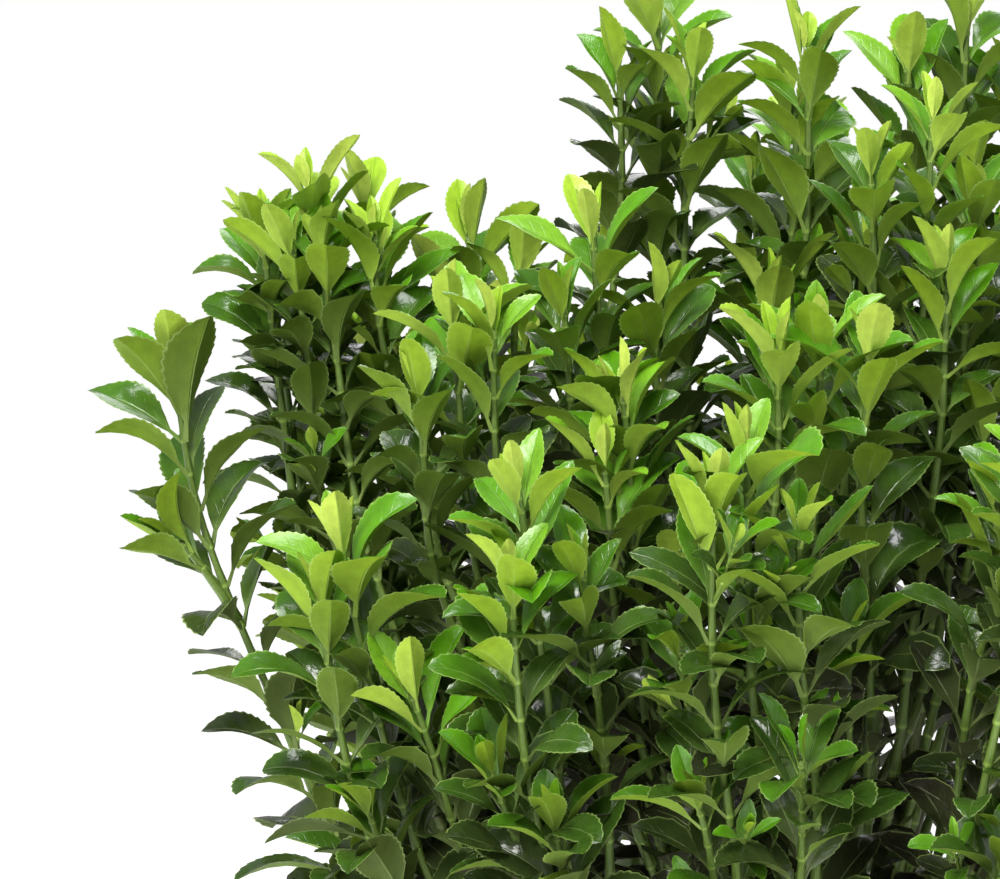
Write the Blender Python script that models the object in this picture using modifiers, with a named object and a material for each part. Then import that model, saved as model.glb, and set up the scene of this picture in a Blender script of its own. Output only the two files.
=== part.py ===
"""A potted euonymus: a bushy evergreen shrub of upright leafy plumes in a plain clay pot.

Metres, +Z up. The origin is the middle of the pot's flat underside, and -Y is the front of the crown.
"""

import math
from collections import namedtuple

import bmesh
import bpy
from mathutils import Vector, noise

# Clay pot, a tapered shell with a collar round its rim
POT_HEIGHT = 0.245
POT_COLLAR_RADIUS = 0.142
POT_COLLAR_HEIGHT = 0.046
POT_COLLAR_STEP = 0.007
POT_FOOT_RADIUS = 0.100
POT_WALL = 0.010
POT_FLOOR = 0.013
POT_EDGE_ROUNDING = 0.003
POT_SEGMENTS = 32
DRAIN_HOLES = 4
DRAIN_HOLE_RADIUS = 0.008
DRAIN_HOLE_RING = 0.055
DRAIN_HOLE_SIDES = 16
WELD_DISTANCE = 0.00001

# Compost, filling the pot to a little under its rim
SOIL_TOP = 0.224
SOIL_SAG = 0.006
SOIL_FLAT_RADIUS = 0.060

# Pieces that touch keep this gap
SEAT_GAP = 0.0003

# Stems, which stand in the compost and lean out to their forks. They rise straight through their flare
STEM_FOOT_RADIUS = 0.0062
STEM_TOP_RADIUS = 0.0046
STEM_FLARE = 1.7
STEM_FLARE_WAIST = 1.24
STEM_WAIST_HEIGHT = 0.0035
STEM_FLARE_HEIGHT = 0.010
STEM_RISE = 0.026
STEM_LEAN_SHARE = 0.4
STEM_FORK_DROP = 0.012
STEM_RING = 0.031
STEM_FORK_RING = 0.060
STEM_FORK_HEIGHT = 0.263
CENTRE_FORK_HEIGHT = 0.292
BOUGH_FOOT_RADIUS = 0.0032
BOUGH_TIP_RADIUS = 0.0024
BOUGH_SPACING = 0.0095
BOUGH_RISE = math.radians(35)
BOUGH_LEAD = 0.005
BOUGH_TURN_HEIGHT = 0.308
BOUGH_STEP = 0.030
BOUGH_PULL = 0.36
BEND_POINTS = 5
LIMB_SMOOTHNESS = 2

# Foliage. A plume leans out fast at first and then turns upright
FOOT_SHARE = 0.10
LEAN_POWER = 1.7
OUTER_REACH = 0.29
OUTER_FOOT = 0.288
INNER_FOOT_RISE = 0.105
OPENING_SHARE = 0.22
OPENING_POWER = 0.6
CLOSING_POWER = 3.2
CLOSING_ROUNDNESS = 0.62
MASS_SIDES = 11
LEVEL_STEP = 0.043
END_ROOM = 0.28
MASS_FOOT_RADIUS = 0.008
MASS_GAP = 0.005
LIMB_ROOM = 0.016
UNEVENNESS = 0.16
UNEVEN_SCALE = 16.0
UNEVEN_SHIFT = 3.7
HEADING_STEP = 0.002

Plume = namedtuple("Plume", "name stem x y top girth")

# Each plume of foliage: the stem that carries it, the place and height of its tip, and its widest radius
PLUMES = [
    Plume("left_outer", "left", -0.281, -0.015, 0.697, 0.043),
    Plume("left_upper", "left", -0.222, 0.042, 0.790, 0.066),
    Plume("left_inner", "left", -0.150, 0.072, 0.778, 0.050),
    Plume("front_left_low", "front_left", -0.203, -0.130, 0.628, 0.047),
    Plume("front_left", "front_left", -0.128, -0.206, 0.656, 0.052),
    Plume("front_left_upper", "front_left", -0.156, -0.098, 0.724, 0.054),
    Plume("front", "front", -0.034, -0.236, 0.674, 0.056),
    Plume("front_upper", "front", -0.002, -0.156, 0.718, 0.056),
    Plume("front_inner", "front", -0.082, -0.128, 0.692, 0.050),
    Plume("right_low", "front_right", 0.200, -0.140, 0.644, 0.056),
    Plume("front_right", "front_right", 0.098, -0.206, 0.668, 0.058),
    Plume("right_inner", "front_right", 0.140, -0.080, 0.744, 0.056),
    Plume("right_outer", "right", 0.272, -0.034, 0.700, 0.056),
    Plume("right_back", "right", 0.226, 0.110, 0.690, 0.058),
    Plume("right_upper", "right", 0.178, 0.022, 0.792, 0.064),
    Plume("back", "back", 0.010, 0.250, 0.690, 0.062),
    Plume("back_right", "back", 0.146, 0.204, 0.706, 0.062),
    Plume("back_left", "back", -0.124, 0.222, 0.712, 0.060),
    Plume("left_back", "back", -0.202, 0.142, 0.704, 0.056),
    Plume("centre", "centre", 0.002, 0.012, 0.842, 0.058),
    Plume("centre_right", "centre", 0.078, 0.056, 0.868, 0.060),
    Plume("centre_tall", "centre", -0.064, 0.060, 0.862, 0.056),
    Plume("centre_front", "centre", 0.053, -0.078, 0.810, 0.060),
    Plume("centre_left", "centre", -0.092, -0.056, 0.762, 0.058),
    Plume("centre_back", "centre", 0.010, 0.140, 0.806, 0.064),
]

# Colour and roughness of each material
CLAY = ((0.58, 0.27, 0.15), 0.85)
COMPOST = ((0.045, 0.030, 0.020), 1.0)
BARK = ((0.24, 0.20, 0.13), 0.8)
GREEN_BARK = ((0.20, 0.28, 0.08), 0.6)
FOLIAGE = ((0.10, 0.26, 0.03), 0.45)

# Which way each outer stem leans, in degrees from +X
STEM_BEARINGS = {"left": 172, "front_left": 226, "front": 270, "front_right": 320, "right": 14, "back": 98}


def clear_scene():
    for obj in list(bpy.data.objects):
        bpy.data.objects.remove(obj)


def new_collection(name):
    made = bpy.data.collections.new(name)
    bpy.context.scene.collection.children.link(made)
    return made


def new_material(name, colour, roughness):
    made = bpy.data.materials.new(name)
    made.use_nodes = True
    shader = made.node_tree.nodes["Principled BSDF"]
    shader.inputs["Base Color"].default_value = (*colour, 1.0)
    shader.inputs["Roughness"].default_value = roughness
    shader.inputs["Metallic"].default_value = 0.0
    return made


def new_object(name, data, collection, material):
    made = bpy.data.objects.new(name, data)
    collection.objects.link(made)
    data.materials.append(material)
    return made


def turned(name, profile, collection, material):
    """A solid turned about Z from (radius, height) points that run down its outer side."""
    mesh = bpy.data.meshes.new(name)
    edges = [(i, i + 1) for i in range(len(profile) - 1)]
    mesh.from_pydata([(radius, 0.0, height) for radius, height in profile], edges, [])
    made = new_object(name, mesh, collection, material)
    screw = made.modifiers.new("Turn", "SCREW")
    screw.steps = POT_SEGMENTS
    screw.render_steps = POT_SEGMENTS
    screw.use_merge_vertices = True
    screw.merge_threshold = WELD_DISTANCE
    return made


def limb(name, path, radii, collection, material):
    """A tapering limb along the path, with a flat cut at each end."""
    curve = bpy.data.curves.new(name, "CURVE")
    curve.dimensions = "3D"
    curve.bevel_depth = 1.0
    curve.bevel_resolution = LIMB_SMOOTHNESS
    curve.use_fill_caps = True
    spline = curve.splines.new("POLY")
    spline.points.add(len(path) - 1)
    for point, place, radius in zip(spline.points, path, radii):
        point.co = (*place, 1.0)
        point.radius = radius
    return new_object(name, curve, collection, material)


def pot_wall_radius(height):
    """Outer radius of the pot's tapered body at this height."""
    collar_foot = POT_HEIGHT - POT_COLLAR_HEIGHT
    body_top = POT_COLLAR_RADIUS - POT_COLLAR_STEP
    return POT_FOOT_RADIUS + (body_top - POT_FOOT_RADIUS) * min(height / collar_foot, 1.0)


def build_pot(collection, cutters, material):
    rounding = POT_EDGE_ROUNDING
    collar_foot = POT_HEIGHT - POT_COLLAR_HEIGHT
    inner_top = POT_COLLAR_RADIUS - POT_COLLAR_STEP - POT_WALL
    inner_foot = POT_FOOT_RADIUS - POT_WALL
    profile = [
        (0.0, POT_FLOOR),
        (inner_foot, POT_FLOOR),
        (inner_top, collar_foot),
        (inner_top, POT_HEIGHT - rounding),
        (inner_top + rounding, POT_HEIGHT),
        (POT_COLLAR_RADIUS - rounding, POT_HEIGHT),
        (POT_COLLAR_RADIUS, POT_HEIGHT - rounding),
        (POT_COLLAR_RADIUS - rounding / 2, collar_foot + rounding / 2),
        (pot_wall_radius(collar_foot), collar_foot),
        (pot_wall_radius(rounding), rounding),
        (POT_FOOT_RADIUS - rounding, 0.0),
        (0.0, 0.0),
    ]
    pot = turned("pot", profile, collection, material)
    for i in range(DRAIN_HOLES):
        bearing = math.tau * (i + 0.5) / DRAIN_HOLES
        place = (DRAIN_HOLE_RING * math.cos(bearing), DRAIN_HOLE_RING * math.sin(bearing), POT_FLOOR / 2)
        bpy.ops.mesh.primitive_cylinder_add(
            vertices=DRAIN_HOLE_SIDES, radius=DRAIN_HOLE_RADIUS, depth=3 * POT_FLOOR, location=place
        )
        cutter = bpy.context.object
        cutter.name = f"drain_cutter_{i + 1}"
        cutter.hide_render = True
        cutter.display_type = "WIRE"
        for home in list(cutter.users_collection):
            home.objects.unlink(cutter)
        cutters.objects.link(cutter)
        hole = pot.modifiers.new(f"Drain {i + 1}", "BOOLEAN")
        hole.operation = "DIFFERENCE"
        hole.object = cutter
    return pot


def build_soil(collection, material):
    collar_foot = POT_HEIGHT - POT_COLLAR_HEIGHT
    inner_top = POT_COLLAR_RADIUS - POT_COLLAR_STEP - POT_WALL - SEAT_GAP
    inner_foot = POT_FOOT_RADIUS - POT_WALL - SEAT_GAP
    profile = [
        (0.0, SOIL_TOP),
        (SOIL_FLAT_RADIUS, SOIL_TOP),
        ((SOIL_FLAT_RADIUS + inner_top) / 2, SOIL_TOP - SOIL_SAG / 2),
        (inner_top, SOIL_TOP - SOIL_SAG),
        (inner_top, collar_foot),
        (inner_foot, POT_FLOOR + SEAT_GAP),
        (0.0, POT_FLOOR + SEAT_GAP),
    ]
    return turned("compost", profile, collection, material)


def plume_centre(plume, height):
    """Where the plume's own axis is at this height."""
    rise = (height - SOIL_TOP) / (plume.top - SOIL_TOP)
    left = max(1.0 - rise, 0.0)
    out = FOOT_SHARE + (1.0 - FOOT_SHARE) * (1.0 - left**LEAN_POWER)
    return Vector((plume.x * out, plume.y * out, height))


def plume_heading(plume, height):
    """The plume's direction at this height."""
    ahead = plume_centre(plume, height + HEADING_STEP)
    return (ahead - plume_centre(plume, height - HEADING_STEP)).normalized()


def foliage_foot(plume):
    """Height at which the plume's leaves begin: the inner plumes are bare for longer."""
    reach = math.hypot(plume.x, plume.y)
    return OUTER_FOOT + INNER_FOOT_RISE * (1.0 - min(reach / OUTER_REACH, 1.0))


def plume_radius(plume, height):
    """Half width of the plume at this height, before its neighbours press on it."""
    foot = foliage_foot(plume)
    share = (height - foot) / (plume.top - foot)
    if share <= 0.0 or share >= 1.0:
        return 0.0
    opening = min(1.0, (share / OPENING_SHARE) ** OPENING_POWER)
    closing = (1.0 - share**CLOSING_POWER) ** CLOSING_ROUNDNESS
    return plume.girth * opening * closing


def room_towards(plume, height, way):
    """How far the plume can spread this way before it meets the space of a neighbour or its bough."""
    centre = plume_centre(plume, height)
    own = max(plume_radius(plume, height), LIMB_ROOM)
    room = math.inf
    for other in PLUMES:
        if other is plume or height > other.top + LEVEL_STEP:
            continue
        between = plume_centre(other, height) - centre
        share = own / (own + max(plume_radius(other, height), LIMB_ROOM))
        ahead = way.dot(between.normalized())
        if ahead > 0.0:
            room = min(room, (between.length * share - MASS_GAP / 2) / ahead)
    return room


def build_mass(plume, number, collection, material):
    """A closed, uneven plume: a sphere whose rings are set to the plume's widths, level by level."""
    foot = foliage_foot(plume)
    first = math.ceil(foot / LEVEL_STEP + END_ROOM)
    last = math.floor(plume.top / LEVEL_STEP - END_ROOM)
    levels = [foot] + [LEVEL_STEP * i for i in range(first, last + 1)]
    body = bmesh.new()
    bmesh.ops.create_uvsphere(body, u_segments=MASS_SIDES, v_segments=len(levels) + 1, radius=1.0)
    for vertex in body.verts:
        down = math.acos(max(-1.0, min(1.0, vertex.co.z))) / math.pi
        ring = round((1.0 - down) * (len(levels) + 1)) - 1
        if ring < 0:
            vertex.co = plume_centre(plume, foot)
            continue
        if ring >= len(levels):
            vertex.co = plume_centre(plume, plume.top)
            continue
        height = levels[ring]
        way = Vector((vertex.co.x, vertex.co.y, 0.0)).normalized()
        centre = plume_centre(plume, height)
        if ring == 0:
            vertex.co = centre + way * MASS_FOOT_RADIUS
            continue
        wide = plume_radius(plume, height)
        shift = Vector((0.0, 0.0, UNEVEN_SHIFT * number))
        wide *= 1.0 + UNEVENNESS * noise.noise((centre + way * wide) * UNEVEN_SCALE + shift)
        vertex.co = centre + way * min(wide, room_towards(plume, height, way))
    mesh = bpy.data.meshes.new(f"leaves_{plume.name}")
    body.to_mesh(mesh)
    body.free()
    return new_object(mesh.name, mesh, collection, material)


def bezier(start, start_pull, end_pull, end, count):
    """Points along a cubic curve."""
    points = []
    for i in range(count):
        t = i / (count - 1)
        s = 1.0 - t
        points.append(s**3 * start + 3 * s * s * t * start_pull + 3 * s * t * t * end_pull + t**3 * end)
    return points


def stem_line(name):
    """The stem's centre line from the compost to its fork, and its radius at each point."""
    if name == "centre":
        foot = Vector((0.0, 0.0, SOIL_TOP + SEAT_GAP))
        fork = Vector((0.0, 0.0, CENTRE_FORK_HEIGHT))
    else:
        bearing = math.radians(STEM_BEARINGS[name])
        way = Vector((math.cos(bearing), math.sin(bearing), 0.0))
        foot = way * STEM_RING + Vector((0.0, 0.0, SOIL_TOP + SEAT_GAP))
        fork = way * STEM_FORK_RING + Vector((0.0, 0.0, STEM_FORK_HEIGHT))
    up = Vector((0.0, 0.0, 1.0))
    out = Vector((fork.x - foot.x, fork.y - foot.y, 0.0))
    flare_top = foot + STEM_FLARE_HEIGHT * up
    pull_back = STEM_LEAN_SHARE * out + STEM_FORK_DROP * up
    path = [foot, foot + STEM_WAIST_HEIGHT * up]
    path += bezier(flare_top, foot + STEM_RISE * up, fork - pull_back, fork, BEND_POINTS)
    shrink = (STEM_FOOT_RADIUS - STEM_TOP_RADIUS) / (len(path) - 1)
    radii = [STEM_FOOT_RADIUS - shrink * i for i in range(len(path))]
    radii[0] *= STEM_FLARE
    radii[1] *= STEM_FLARE_WAIST
    return path, radii


def below_fork(stem, distance):
    """The stem's centre, direction and radius this far below its fork."""
    path, radii = stem_line(stem)
    for i in range(len(path) - 1, 0, -1):
        piece = path[i] - path[i - 1]
        if distance <= piece.length:
            share = distance / piece.length
            radius = radii[i] + (radii[i - 1] - radii[i]) * share
            return path[i] - piece * share, piece.normalized(), radius
        distance -= piece.length
    raise ValueError(f"stem {stem} is too short for its boughs")


def bough_line(plume, order):
    """The bough's centre line, from its stem to its plume's foot. The first bough runs on from the stem."""
    point, heading, stem_radius = below_fork(plume.stem, BOUGH_SPACING * order)
    if order == 0:
        start = point + heading * SEAT_GAP
    else:
        aim = plume_centre(plume, BOUGH_TURN_HEIGHT) - point
        side = (aim - heading * aim.dot(heading)).normalized()
        clear = stem_radius + SEAT_GAP + BOUGH_FOOT_RADIUS * math.sin(BOUGH_RISE)
        start = point + side * clear
        heading = side * math.cos(BOUGH_RISE) + heading * math.sin(BOUGH_RISE)
    foot = foliage_foot(plume)
    turn = foot if foot < BOUGH_TURN_HEIGHT + BOUGH_STEP / 2 else BOUGH_TURN_HEIGHT
    joint = plume_centre(plume, turn)
    lead = start + heading * BOUGH_LEAD
    pull = BOUGH_PULL * (joint - lead).length
    arrival = joint - plume_heading(plume, turn) * pull
    points = [start] + bezier(lead, lead + heading * pull, arrival, joint, BEND_POINTS)
    more = math.ceil((foot - turn) / BOUGH_STEP)
    points += [plume_centre(plume, turn + (foot - turn) * (i + 1) / more) for i in range(more)]
    lean = math.acos(min(1.0, (points[-1] - points[-2]).normalized().z))
    drop = SEAT_GAP + BOUGH_TIP_RADIUS * math.sin(lean)
    points[-1] = points[-1] - Vector((0.0, 0.0, drop))
    return points


def build_limbs(collection, stem_material, bough_material):
    for name in ["centre", *STEM_BEARINGS]:
        path, radii = stem_line(name)
        limb(f"stem_{name}", path, radii, collection, stem_material)
        for order, plume in enumerate(p for p in PLUMES if p.stem == name):
            points = bough_line(plume, order)
            taper = (BOUGH_FOOT_RADIUS - BOUGH_TIP_RADIUS) / (len(points) - 1)
            widths = [BOUGH_FOOT_RADIUS - taper * i for i in range(len(points))]
            limb(f"bough_{plume.name}", points, widths, collection, bough_material)


def main():
    clear_scene()
    shrub = new_collection("potted_euonymus")
    cutters = new_collection("cutters")
    build_pot(shrub, cutters, new_material("clay", *CLAY))
    build_soil(shrub, new_material("compost", *COMPOST))
    build_limbs(shrub, new_material("bark", *BARK), new_material("green_bark", *GREEN_BARK))
    foliage = new_material("foliage", *FOLIAGE)
    for number, plume in enumerate(PLUMES):
        build_mass(plume, number, shrub, foliage)


main()
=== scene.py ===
"""The looks of a potted Japanese euonymus: an upright evergreen shrub, leaf by leaf, in a clay pot.

Metres, +Z up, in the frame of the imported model. Each foliage mass of that model is replaced by leafy shoots
that grow on from its bough by a seeded rule and stay inside its outline.
"""

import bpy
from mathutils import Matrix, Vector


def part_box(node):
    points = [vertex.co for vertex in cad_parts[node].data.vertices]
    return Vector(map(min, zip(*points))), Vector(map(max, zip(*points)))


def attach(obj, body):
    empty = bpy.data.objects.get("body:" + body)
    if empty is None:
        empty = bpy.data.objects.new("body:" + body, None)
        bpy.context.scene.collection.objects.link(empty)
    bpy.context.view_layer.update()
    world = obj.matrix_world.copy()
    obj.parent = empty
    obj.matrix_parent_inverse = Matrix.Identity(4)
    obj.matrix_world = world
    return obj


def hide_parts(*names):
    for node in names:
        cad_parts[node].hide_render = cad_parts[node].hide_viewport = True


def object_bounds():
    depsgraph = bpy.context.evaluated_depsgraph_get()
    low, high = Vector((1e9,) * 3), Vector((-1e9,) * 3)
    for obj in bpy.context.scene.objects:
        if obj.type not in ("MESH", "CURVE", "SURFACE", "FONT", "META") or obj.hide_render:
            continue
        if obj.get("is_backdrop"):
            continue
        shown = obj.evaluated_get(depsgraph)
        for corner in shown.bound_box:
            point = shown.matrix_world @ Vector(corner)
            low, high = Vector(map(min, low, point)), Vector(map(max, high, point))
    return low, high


bl_info = {
    "name": "Potted Euonymus",
    "version": (1, 0, 0),
    "blender": (4, 5, 0),
    "location": "3D View > Sidebar > Euonymus",
    "description": "Grows a potted evergreen euonymus round its packed model",
    "category": "Object",
}

import math
import random
from collections import namedtuple

import bmesh
import bpy
import numpy as np
from bpy.props import FloatProperty, FloatVectorProperty, IntProperty, PointerProperty
from mathutils import Vector, noise

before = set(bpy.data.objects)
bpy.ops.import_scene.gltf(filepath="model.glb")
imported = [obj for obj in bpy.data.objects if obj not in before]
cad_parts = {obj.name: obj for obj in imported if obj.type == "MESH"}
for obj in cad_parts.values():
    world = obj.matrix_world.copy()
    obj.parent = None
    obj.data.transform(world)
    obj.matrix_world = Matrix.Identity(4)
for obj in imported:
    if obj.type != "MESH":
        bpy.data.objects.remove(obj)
CAD_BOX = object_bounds()
BODY = "root"

STEMS = sorted(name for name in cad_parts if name.startswith("stem_"))
BOUGHS = sorted(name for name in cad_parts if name.startswith("bough_"))
MASSES = sorted(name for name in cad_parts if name.startswith("leaves_"))

SOIL_LOW, SOIL_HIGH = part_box("compost")

# Reading the frame
OUTLINE_LEVELS = 26
OUTLINE_BEARINGS = 36
OUTLINE_EDGE = 0.003
LIMB_LEVELS = 14
LIMB_EDGE = 0.0028
LIMB_ROOT = 0.005
LIMB_END = 0.0012
LIMB_END_SHARE = 0.7
LIMB_SMOOTHING = 2
ROUNDNESS_OF_CUT = 1.03
CUT_DECIMALS = 6

# Growth of the shoots
SEEDS_APART = 1000
PATH_STEP = 0.009
HEADING_STEP = 0.004
LEADER_SMOOTHING = 10
SIDE_SMOOTHING = 4
WANDER = 0.0032
WANDER_SCALE = 9.0
STEADY_POINTS = 5
WANDER_OFFSETS = (Vector((13.5, 0.0, 0.0)), Vector((0.0, 27.5, 0.0)))
SIDE_TURN = 0.075
SIDE_POWER = 2.1
LEAST_SIDES = 3
SIDE_SPREAD = 0.25
WAIST = 0.55
SHOULDER = 0.80
LEAST_ROOM = 0.004
LOW_LEAF_SPREAD = 0.027
TIP_LEAF_SPREAD = 0.012
SIDE_FOOT_SPAN = 0.28
HIGHEST_SIDE_TIP = 0.945
LEADER_BARE = 0.012
SIDE_BARE = 0.02
LEADER_VIGOUR = (0.8, 1.0)
SIDE_VIGOUR = (0.45, 0.95)

# Low shoots outside a plume: bearing from the plume's own in radians, foot and tip as shares of its height
LOW_BEARING = (0.3, 1.0)
LOW_FOOT = (0.0, 0.06)
LOW_TIP = (0.46, 0.66)
LOW_VIGOUR = (0.0, 0.35)
LEAST_LOW_LENGTH = 0.10

# Twigs
YOUNGEST_TWIG_PAIR = 4
TWIG_LENGTHS = (0.012, 0.034)
TWIG_VIGOUR = (0.3, 0.8)
TWIG_STEPS = (0.0, 0.3, 0.6, 1.0)
TWIG_LEAN = 0.55
TWIG_FLARE = 0.10
TWIG_RISE_POWER = 1.3
TWIG_BARE = 0.004
TWIG_RADIUS = 0.00095
TWIG_TIP_RADIUS = 0.0006

# Joints of the shoots, at each leaf pair: half a joint's length, its width and where the skin beside it lies
JOINT_SWELL = 0.0013
JOINT_WIDTH = 1.28
BESIDE_JOINT = 0.9
LEAST_JOINT_GAP = 3.0 * JOINT_SWELL
SHOOT_END_WIDTH = 0.55
SHOOT_SIDES = 6
TWIG_SIDES = 5

# A plume. Its side shoots: their count, their lowest foot and how far apart their tips lie, as shares of its
# height, and whether some stay low outside it. Its leader: the room left above it for its top leaves. Its
# leaves: their size, their extra age and their share of the painted shade, the darker tints that stand for
# shade in the crown.
USUAL_PLUME = (None, 0.02, 0.23, True, 0.021, 1.0, 0.0, 1.0)
Plume = namedtuple("Plume", "sides foot tips low_shoots top_room leaf_size age shade", defaults=USUAL_PLUME)
PLUMES = {
    "leaves_left_outer": Plume(sides=1, foot=0.42, low_shoots=False, leaf_size=1.15, age=1.7),
    "leaves_left_upper": Plume(sides=8, tips=0.06, top_room=0.032, age=-1.5, shade=0.4),
    "leaves_left_back": Plume(age=-1.0, shade=0.5),
    "leaves_left_inner": Plume(top_room=0.042),
}

# A shoot turns woody in bands, which start this far below its tip
BAND_STARTS = (0.16, 0.21, 0.26, 0.31, 0.36)
STALK_BANDS = len(BAND_STARTS) + 1

# Leaf pairs, counted from a shoot's tip down
PAIR_GAPS = (0.003, 0.006, 0.010, 0.0135, 0.016, 0.0175, 0.0185, 0.0195, 0.0205, 0.0215, 0.0225)
PAIR_SIZES = (0.52, 0.80, 0.94, 1.0)
PAIR_ANGLES = (13.0, 27.0, 32.0, 33.0, 34.0, 35.0, 36.0, 37.0, 38.0)
PAIR_CURLS = (4.0, 20.0, 34.0, 40.0, 44.0, 47.0, 50.0, 52.0)
PAIR_FOLDS = (28.0, 26.0, 24.0, 22.0, 20.0, 18.0, 16.0)
PAIR_BREADTHS = (0.80, 0.88, 0.95, 1.0)
FOOT_DEPTH = 0.6
OLDEST_PAIR = 6
TWIG_LEAF_SIZE = 0.62
AGE_PER_PAIR = 1.25
AGE_SPREAD = 0.7

# Weak shoots: their share of the gaps, the size of their leaves, what vigour adds to it and their extra age
WEAK_GAP = 0.6
WEAK_SIZE = 0.90
VIGOUR_SIZE = 0.12
WEAK_AGE = 5.0

# How far a leaf strays from these: drift, roll and twist in radians, angle, fold and curl in degrees, and
# size and breadth as shares
Stray = namedtuple("Stray", "drift angle roll size breadth fold curl twist")
STRAY = Stray(math.radians(18.0), 8.0, 0.20, 0.10, 0.10, 4.0, 15.0, 0.22)

# Daylight in the crown: a grid of leaf pairs, looked through towards the sky. Each ring of ways to the sky
# has an elevation and a count.
CELL = 0.025
CELLS_DEEP = 10
PAIR_SHADE = 0.45
SKY_WAYS = ((5.0, 12), (35.0, 8), (70.0, 4))
# Painted shade: a leaf with less than this share of daylight gets an older, darker tint, with up to the next
# number added to its age.
LIT_SHARE = 0.315
PAINTED_SHADE_AGE = 21.0
LEAF_FALL_SHARE = 0.31
LEAF_FALL = 1.1
OLD_LEAF_FALL = 0.025
FALL_STARTS = 6

# A leaf's outline, as shares of its length
STALK_SHARE = 0.15
STALK_HALF_WIDTH = 0.024
BLADE_HALF_WIDTH = 0.222
BASE_POWER = 1.10
TIP_POWER = 0.86
TEETH_FROM = 0.34
TEETH_TO = 0.975
TOOTH_DEPTH = 0.017
TOOTH_RETURN = 0.30
RIB_DEPTH = 0.020
RIB_TIP_DEPTH = 0.008
STALK_DEPTH = 0.034
MIDWAY = 0.52
QUILTING = 0.014
BEND_POWER = 1.35
OPENING = 0.2
WAVE_DEPTH = 0.10
WAVES = 1.2

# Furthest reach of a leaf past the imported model
OVERHANG = 0.021
LEAST_REACH = 1e-6

# How finely a leaf is made: the least daylight on it, its rib, its margin and its share of the teeth
Grade = namedtuple("Grade", "light rib base teeth quilted")
GRADES = (
    Grade(0.31, (0.0, 0.15, 0.27, 0.41, 0.56, 0.71, 0.86), (0.0, 0.07, 0.15, 0.20, 0.26, 0.32), 1.0, True),
    Grade(0.14, (0.0, 0.15, 0.36, 0.60, 0.82), (0.0, 0.15, 0.26), 0.5, False),
    Grade(0.00, (0.0, 0.15, 0.60), (0.0, 0.15, 0.36, 0.62, 0.85), 0.0, False),
)
SHARP_ANGLE = math.radians(50.0)

# Points and weights of a four-point integral from 0 to 1, along a curled leaf
CURL_STEPS = ((0.0694318, 0.1739274), (0.3300095, 0.3260726), (0.6699905, 0.3260726), (0.9305682, 0.1739274))

# Empty edge round each half of a leaf's bake
BAKE_MARGIN = 0.02

# Leaf tints from youngest to oldest: name, upper colour, under colour, upper roughness, oldest age. The age
# that picks a tint has painted shade added, so the darker tints also stand for shade in the crown.
Tint = namedtuple("Tint", "name upper under roughness until")
TINTS = (
    Tint("lime", (0.360, 0.570, 0.034), (0.500, 0.640, 0.095), 0.30, 1.4),
    Tint("bright", (0.178, 0.405, 0.016), (0.352, 0.505, 0.052), 0.24, 2.9),
    Tint("fresh", (0.092, 0.275, 0.006), (0.244, 0.385, 0.021), 0.19, 4.8),
    Tint("leaf", (0.055, 0.158, 0.008), (0.156, 0.256, 0.017), 0.15, 7.0),
    Tint("mid", (0.037, 0.089, 0.010), (0.099, 0.163, 0.015), 0.13, 9.6),
    Tint("deep", (0.028, 0.049, 0.011), (0.061, 0.092, 0.016), 0.12, 12.5),
    Tint("dark", (0.022, 0.028, 0.011), (0.044, 0.051, 0.019), 0.14, 15.5),
    # Painted shade: a near-black brown for the leaves deepest in the crown's shade.
    Tint("shade", (0.021, 0.019, 0.012), (0.032, 0.028, 0.018), 0.22, math.inf),
)

# Ribs, veins and margins lean from a leaf's tint towards a pale green; on the margins that thin pale line is
# a painted rim highlight. Each side of a leaf: that pale green, how far they lean, how clear its veins are
# and its specular level.
Side = namedtuple("Side", "pale lean veins specular")
UPPER_SIDE = Side((0.55, 0.75, 0.22), 0.35, 0.05, 0.5)
UNDER_SIDE = Side((0.60, 0.78, 0.30), 0.30, 0.03, 0.15)
UNDER_ROUGHNESS = 0.55
SIDE_VEINS = 9.0
VEIN_SLANT = 0.22
LEAF_RELIEF = 0.0004

# Skin of the shoots and twigs, its streaks and the wood of their old parts
SHOOT_SKIN = (0.095, 0.165, 0.024)
SHOOT_STREAK = (0.18, 0.28, 0.05)
TWIG_SKIN = (0.17, 0.28, 0.04)
TWIG_STREAK = (0.28, 0.42, 0.08)
OLD_WOOD = (0.110, 0.106, 0.048)

# Bark: rings and sides of the mesh, then its ridges, knots, leaf scars and flared foot
BARK_STEP = 0.0016
BARK_SIDES = 16
LEAST_RINGS = 4
RIDGE_SCALE = 60.0
RIDGE_SHARE = 1.4
KNOT_SCALE = 90.0
KNOT_SHARE = 0.5
SCAR_SHARE = 0.8
SCAR_WIDTH = 0.0012
SCAR_START = 0.4
FLARE = 0.25
FLARE_LENGTH = 0.010
LIMB_SHIFT = 9.0
KNOT_SHIFT = 5.0

# Bark of the stems and of the boughs: how close its ridges stand and the gap between its leaf scars
STEM_RIDGES, STEM_SCAR_GAP = 3.2, 0.021
BOUGH_RIDGES, BOUGH_SCAR_GAP = 2.4, 0.023

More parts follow.
